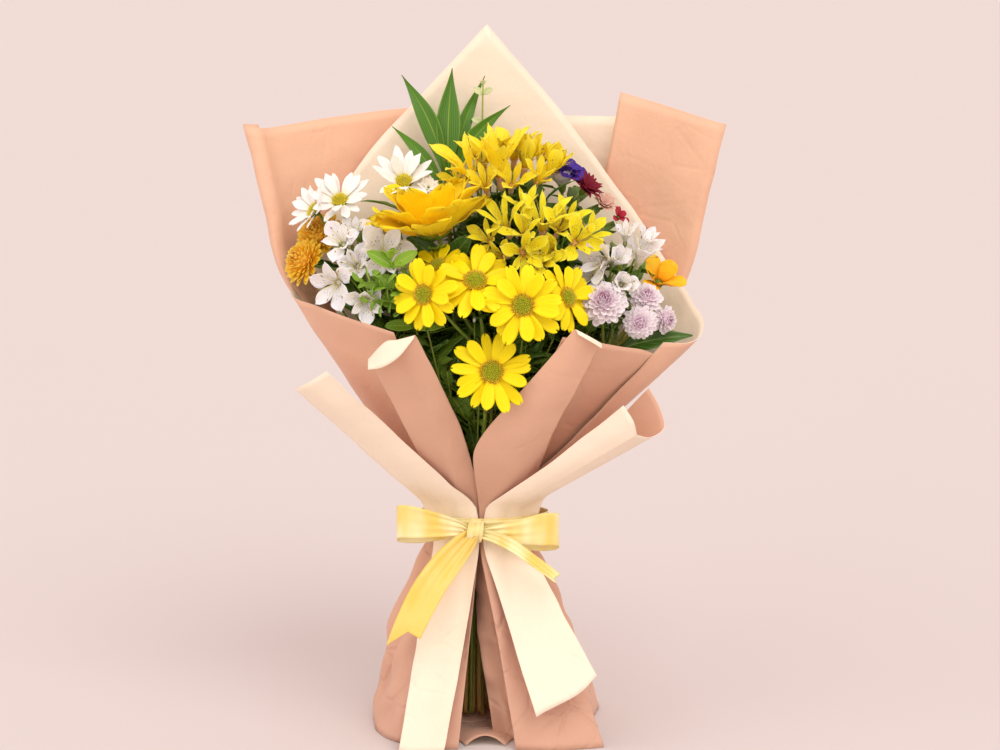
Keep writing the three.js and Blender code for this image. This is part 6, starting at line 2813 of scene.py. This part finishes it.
def stem_way(slot: tuple[float, float], number: int, points: Sequence[Point]) -> list[Point]:
    """The way of a stem from its cut end, through the tie and on through its points.

    Args:
        slot: Its place in the tie.
        number: Its number, for the draw of its cut end's height.
        points: The points that it passes above the tie.

    Returns:
        All its points, in millimetres.
    """
    x, y = slot
    end = CUT_LOW + CUT_RANGE * float(np.random.default_rng(900 + number).random())
    first = points[0]
    halfway = (x + 0.44 * (first[0] - x), y + 0.4 * (first[1] - y), TIE_TOP + 0.44 * (first[2] - TIE_TOP))
    foot = (FOOT_SPREAD_X * x, FOOT_SPREAD_Y * y - FOOT_FORWARD, end)
    waist = tuple(Vector(foot) * 0.5 + Vector((x, y, TIE_HEIGHT)) * 0.5)
    return [foot, waist, (x, y, TIE_HEIGHT), halfway, *points]


STEMS = (
    LeafyStem("yellow_daisy_stems", 0, ((6, -50, 258), (8, -46, 300)), (
        (0, under_daisy(DaisyKind.YELLOW, 3)),
        *((1, under_daisy(DaisyKind.YELLOW, n)) for n in (1, 2, 4, 5, 6)),
    )),
    LeafyStem("golden_bloom_stem", 1, ((-18, -26, 340), GOLDEN_NECK), (), (
        Leaf((-22, -32, 370), (-50, -42, 391), 16, (0, -1, 0.5), LeafForm.ROUND, Finish.GLOSSY_LEAF),
        Leaf((-21, -33, 368), (-8, -50, 391), 16, (0, -1, 0.5), LeafForm.ROUND, Finish.GLOSSY_LEAF),
        Leaf((-19, -29, 350), (6, -42, 366), 13, (0, -1, 0.5), LeafForm.ROUND, Finish.GLOSSY_LEAF),
    )),
    LeafyStem("left_stems", 2, ((-72, -20, 318), (-92, -4, 362)), (
        (0, (-82, -26, 335)), (1, under_daisy(DaisyKind.WHITE, 1)), (1, under_daisy(DaisyKind.WHITE, 2)),
        (1, below(POMPONS[0], 7)), (1, below(POMPONS[1], 7)),
    ), (Leaf((-84, -11, 342), (-100, -44, 380), 13, (0, -1, 0.3), LeafForm.ROUND, Finish.GLOSSY_LEAF),)),
    LeafyStem("tall_leaf_stem", 3, ((-22, 4, 392), (-22, 12, 428)), (
        (0, under_daisy(DaisyKind.WHITE, 3)), (0, below(ROSETTES[6], 5)),
    ), (
        Leaf((-23, 12, 424), (-61, 30, 508), 17, (-0.3, -1, 0.2), LeafForm.TALL, Finish.TALL_LEAF, -0.07),
        Leaf((-22, 11, 424), (-20, 26, 514), 20, (0, -1, 0.1), LeafForm.TALL, Finish.TALL_LEAF, 0.02),
        Leaf((-22, 12, 422), (7, 36, 508), 12, (0.2, -1, 0.1), LeafForm.TALL, Finish.TALL_LEAF, 0.05),
        Leaf((-22, 11, 420), (24, 22, 486), 14, (0.3, -0.8, 0.6), LeafForm.TALL, Finish.TALL_LEAF, 0.1),
        Leaf((-22, 11, 414), (-67, 28, 470), 11, (0, -1, 0.1), LeafForm.TALL, Finish.TALL_LEAF, -0.06),
    ), small=5),
    LeafyStem("top_spray_stem", 4, ((14, 0, 407),)),
    LeafyStem("middle_spray_stem", 5, ((40, -30, 365),)),
    LeafyStem("back_right_stems", 6, ((52, 2, 350), (66, -4, 388)), tuple(
        (1, below(ROSETTES[n], 6)) for n in (0, 2, 3, 4)
    ), (
        Leaf((64, -3, 382), (92, -16, 414), 12, (0, -1, 0.4)),
        Leaf((61, -2, 374), (104, -16, 398), 13, (0, -1, 0.2)),
    )),
    LeafyStem("right_stems", 7, ((96, -34, 298), (104, -24, 335)), (
        (1, below(ROSETTES[5], 8)), *((0, below(POMPONS[n], 6)) for n in (2, 3, 4, 5)),
    ), (
        Leaf((97, -34, 300), (158, -52, 322), 17, (0, -1, 0.5), LeafForm.LANCE, Finish.GLOSSY_LEAF),
        Leaf((103, -25, 328), (122, -40, 366), 13, (0, -1, 0.3)),
    )),
)


@dataclass(frozen=True)
class Sprig:
    """A thin sprig with pairs of leaves towards its top.

    Attributes:
        name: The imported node's name.
        slot: The record's material slot.
        number: Its number in the tie, which also seeds its draws.
        top: Where it ends.
        pairs: Its pairs of leaves.
        length: A leaf's length.
        width: A leaf's width.
        leaf: The leaves' finish.
        stem: The stem's finish.
        twigs: Where its leafy twigs end.
    """

    name: str
    slot: str
    number: int
    top: Point
    pairs: int
    length: float
    width: float
    leaf: Finish
    stem: Finish
    twigs: tuple[Point, ...] = ()

    def build(self, slots: list[tuple[float, float]]) -> None:
        """Makes the sprig's piece.

        Args:
            slots: The place in the tie of each stem.
        """
        line = stem_way(slots[self.number], self.number, [self.top])
        parts = [stalk(line, self.stem, 1.2, 0.7, Sides=8, Seed=self.number)]
        points = np.array([tuple(p) for p in line])
        draw = np.random.default_rng(self.number)
        blade = replace(LeafForm.ROUND.value, length=self.length, width=self.width)
        for k in range(self.pairs):
            base = Vector(by_length(points, np.array([0.985 - 0.045 * k]))[0])
            for side in (-1, 1):
                out = Vector((side, -0.3, 0.7 - 0.2 * k)).normalized()
                tip = base + out * self.length
                parts.append(laid(blade.shell(self.leaf), tuple(base + out * 0.6), tuple(tip), (0, -1, 0.5),
                                  self.length, float(draw.random())))
        small = replace(blade, length=0.6 * self.length, width=0.7 * self.width, rows=6, columns=4)
        for k, tip in enumerate(self.twigs):
            base = Vector(by_length(points, np.array([0.92 - 0.02 * k]))[0])
            way = [tuple(base), tuple(base.lerp(Vector(tip), 0.5) + Vector((0, -1, 2))), tip]
            parts.append(stalk(way, self.stem, 0.7, 0.45, Sides=6, Seed=k))
            parts.append(leaves_up(
                way, small.shell(self.leaf), self.leaf, Count=9, From=0.35, To=1.0, Start=0.7 * k, Rise=0.7,
                Rise_Jitter=0.3, Low_Size=0.9, High_Size=0.75, Size_Jitter=0.2, Seed=50 + k,
            ))
        crown = whorl(replace(blade, length=0.5 * self.length, width=0.6 * self.width).shell(self.leaf),
                      self.leaf, 4, Rise=0.9, Rise_Jitter=0.2, Turn_Jitter=0.3, Seed=self.number)
        parts.append(crown.moved(Matrix.Translation(Vector(self.top) * MM)))
        add_piece(f"{self.name}_fine", parts, self.slot, self.name)


SPRIGS = (
    Sprig("lime_sprig", "fresh_leaf", 8, (-64, -74, 378), 4, 22, 10, Finish.FRESH_LEAF, Finish.FRESH_STEM,
          ((-86, -75, 362), (-80, -73, 346), (-50, -74, 372), (-55, -75, 353), (-72, -78, 368))),
    Sprig("pale_sprig", "pale_leaf", 9, (4, 30, 502), 3, 9, 6, Finish.PALE_LEAF, Finish.PALE_STEM),
)


@dataclass(frozen=True)
class Filling:
    """Thin leafy shoots that fill the gaps behind and under the heads.

    Attributes:
        behind: How far behind its head a shoot ends.
        lower: How far below its head a shoot ends.
        leaves: The leaves of a shoot.
        front_shoots: How many shoots fill the opening at the front.
        back_shoots: How many shoots fill each of three rows behind.
        front_size: The size of the front shoots' leaves as a share of the others'.
        dots: Where the small white buds at the front end.
    """

    behind: float = 17.0
    lower: float = 22.0
    leaves: int = 8
    front_shoots: int = 11
    back_shoots: int = 22
    front_size: float = 1.3
    dots: tuple[Point, ...] = ((16, -66, 333), (19, -62, 326), (34, -64, 322), (37, -62, 327), (-2, -64, 330))

    def ends(self) -> list[Point]:
        """Where the shoots end: behind each head, in the opening at the front, and in rows behind.

        Returns:
            Their ends, in that order.
        """
        heads = [d.at for d in DAISIES] + [p.at for p in POMPONS] + [r.at for r in ROSETTES]
        heads += [f.at for spray in SPRAYS for f in spray.florets]
        draw = np.random.default_rng(77)
        found = [
            (x * 0.93 + draw.uniform(-6, 6), y + self.behind + draw.uniform(0, 8),
             z - self.lower - draw.uniform(0, 14))
            for x, y, z in heads
        ]
        for k in range(self.front_shoots):
            share = k / (self.front_shoots - 1)
            found.append((-40 + 84 * share, -46 - 14 * math.sin(math.pi * share), 318 - 40 * draw.random()))
        for k in range(self.back_shoots):
            share = k / (self.back_shoots - 1)
            height = 352 + 78 * math.sin(math.pi * (0.1 + 0.8 * share)) - 30 * draw.random()
            found.append((-92 + 214 * share, 2 + 16 * draw.random(), height))
            found.append((-70 + 176 * share, -24 + 12 * draw.random(), height - 44))
            found.append((-34 + 136 * share, -14 + 10 * draw.random(), height - 8))
        return found

    def build(self) -> None:
        """Makes the shoots' piece."""
        parts = []
        draw = np.random.default_rng(78)
        ends = self.ends()
        heads = len(ends) - self.front_shoots - 3 * self.back_shoots
        for k, end in enumerate(ends):
            angle = 2.4 * k
            root = (4 + 9 * math.cos(angle), -2 + 7 * math.sin(angle), 172)
            middle = tuple(Vector(root).lerp(Vector(end), 0.5) + Vector((0, 4, -8)))
            way = [tuple(p) for p in inside(np.array([root, middle, end]))]
            parts.append(stalk(way, Finish.STEM, 1.1, 0.7, Sides=6, Seed=k))
            form = (LeafForm.LANCE, LeafForm.LOBED, LeafForm.LANCE, LeafForm.ROUND)[k % 4]
            small = replace(form.value, rows=5, columns=4)
            finish = Finish.DARK_LEAF if k % 3 else Finish.GLOSSY_LEAF
            full = self.front_size if heads <= k < heads + self.front_shoots else 1.0
            parts.append(kept_in(leaves_up(
                way, small.shell(finish), finish, Count=self.leaves, From=0.42, To=0.99,
                Start=float(draw.uniform(0, 6)), Rise=0.7, Rise_Jitter=0.4, Low_Size=0.95 * full,
                High_Size=0.8 * full, Size_Jitter=0.22, Seed=700 + k,
            )))
        for spot in self.dots:
            tip = Vector(spot)
            parts.append(stalk([tuple(tip + Vector((-2, 14, -34))), tuple(tip + Vector((0, 4, -12))), spot],
                               Finish.FRESH_STEM, 0.35, 0.3, Sides=5))
            turn = Matrix.Translation(tip * MM) @ Matrix.Rotation(-math.pi / 2, 4, "Y")
            parts.append(bud(3.4, 2.6, Finish.WHITE_PETAL, 7).moved(turn))
        add_piece("filling_foliage", parts, "leaf")


class Greenery:
    """Every stem, leaf and sprig of the bouquet."""

    def build(self) -> None:
        """Makes the stems, the sprigs and the filling."""
        ends = [stem.way[-1] for stem in STEMS] + [sprig.top for sprig in SPRIGS]
        slots = slots_for(ends)
        for stem in STEMS:
            stem.build(slots)
        for sprig in SPRIGS:
            sprig.build(slots)
        Filling().build()


# ------------------------------------------------------------------ studio
SENSOR_MM = 36


@dataclass(frozen=True)
class Studio:
    """A pale seamless ground, soft light and the camera.

    Attributes:
        aim: Where the camera looks, in metres.
        stand: Where it stands, in metres.
        lens: Its focal length in millimetres.
        ground: Half the ground's width, in metres.
        air: The colour of the light from all round.
        air_strength: Its strength.
        key: The strength of the light from the front right.
        fill: The strength of the light from the left.
    """

    aim: Point = (0.0172, 0.0, 0.2785)
    stand: Point = (0.0172, -1.6742, 0.5737)
    lens: float = 78.46
    ground: float = 150.0
    air: str = "f6e2db"
    air_strength: float = 0.95
    key: float = 1.25
    fill: float = 0.7

    def lamp(self, name: str, angle: float, energy: float, direction: Point, warmth: Point) -> None:
        """Adds a broad sun.

        Args:
            name: Its name.
            angle: How broad it is, in degrees.
            energy: Its strength.
            direction: Where it stands, seen from the object.
            warmth: Its colour.
        """
        data = bpy.data.lights.new(name, "SUN")
        data.energy = energy
        data.angle = math.radians(angle)
        data.color = warmth
        lamp = new_object(name, data)
        lamp.rotation_mode = "QUATERNION"
        lamp.rotation_quaternion = Vector(direction).to_track_quat("Z", "Y")

    def build(self) -> None:
        """Makes the ground, the light and the camera."""
        data = bpy.data.cameras.new("camera")
        data.lens = self.lens
        data.sensor_width = SENSOR_MM
        data.clip_end = 2 * self.ground
        camera = new_object("camera", data)
        camera.location = self.stand
        camera.rotation_mode = "QUATERNION"
        camera.rotation_quaternion = (Vector(self.aim) - Vector(self.stand)).to_track_quat("-Z", "Y")
        scene = bpy.context.scene
        scene.camera = camera
        scene.view_settings.view_transform = "Standard"
        half = self.ground
        corners = [(-half, -half, 0), (half, -half, 0), (half, half, 0), (-half, half, 0)]
        ground = new_object("ground", Shell.of(corners, [(0, 1, 2, 3)], Finish.GROUND).mesh("ground"))
        world = bpy.data.worlds.new("air")
        world.use_nodes = True
        background = world.node_tree.nodes["Background"]
        background.inputs["Color"].default_value = colour(self.air)
        background.inputs["Strength"].default_value = self.air_strength
        scene.world = world
        self.lamp("key", 45, self.key, (0.42, -0.75, 1.0), (1.0, 0.985, 0.96))
        self.lamp("fill", 60, self.fill, (-0.8, -0.6, 0.55), (1.0, 0.98, 0.97))


def main() -> None:
    """Builds the bouquet and its studio."""
    logging.basicConfig(level=logging.INFO, format="%(message)s")
    for part in (Studio(), Wrapper(), Ribbon(), Blooms(), Greenery()):
        part.build()
        LOG.info("%s finished", type(part).__name__)


if __name__ == "__main__":
    main()
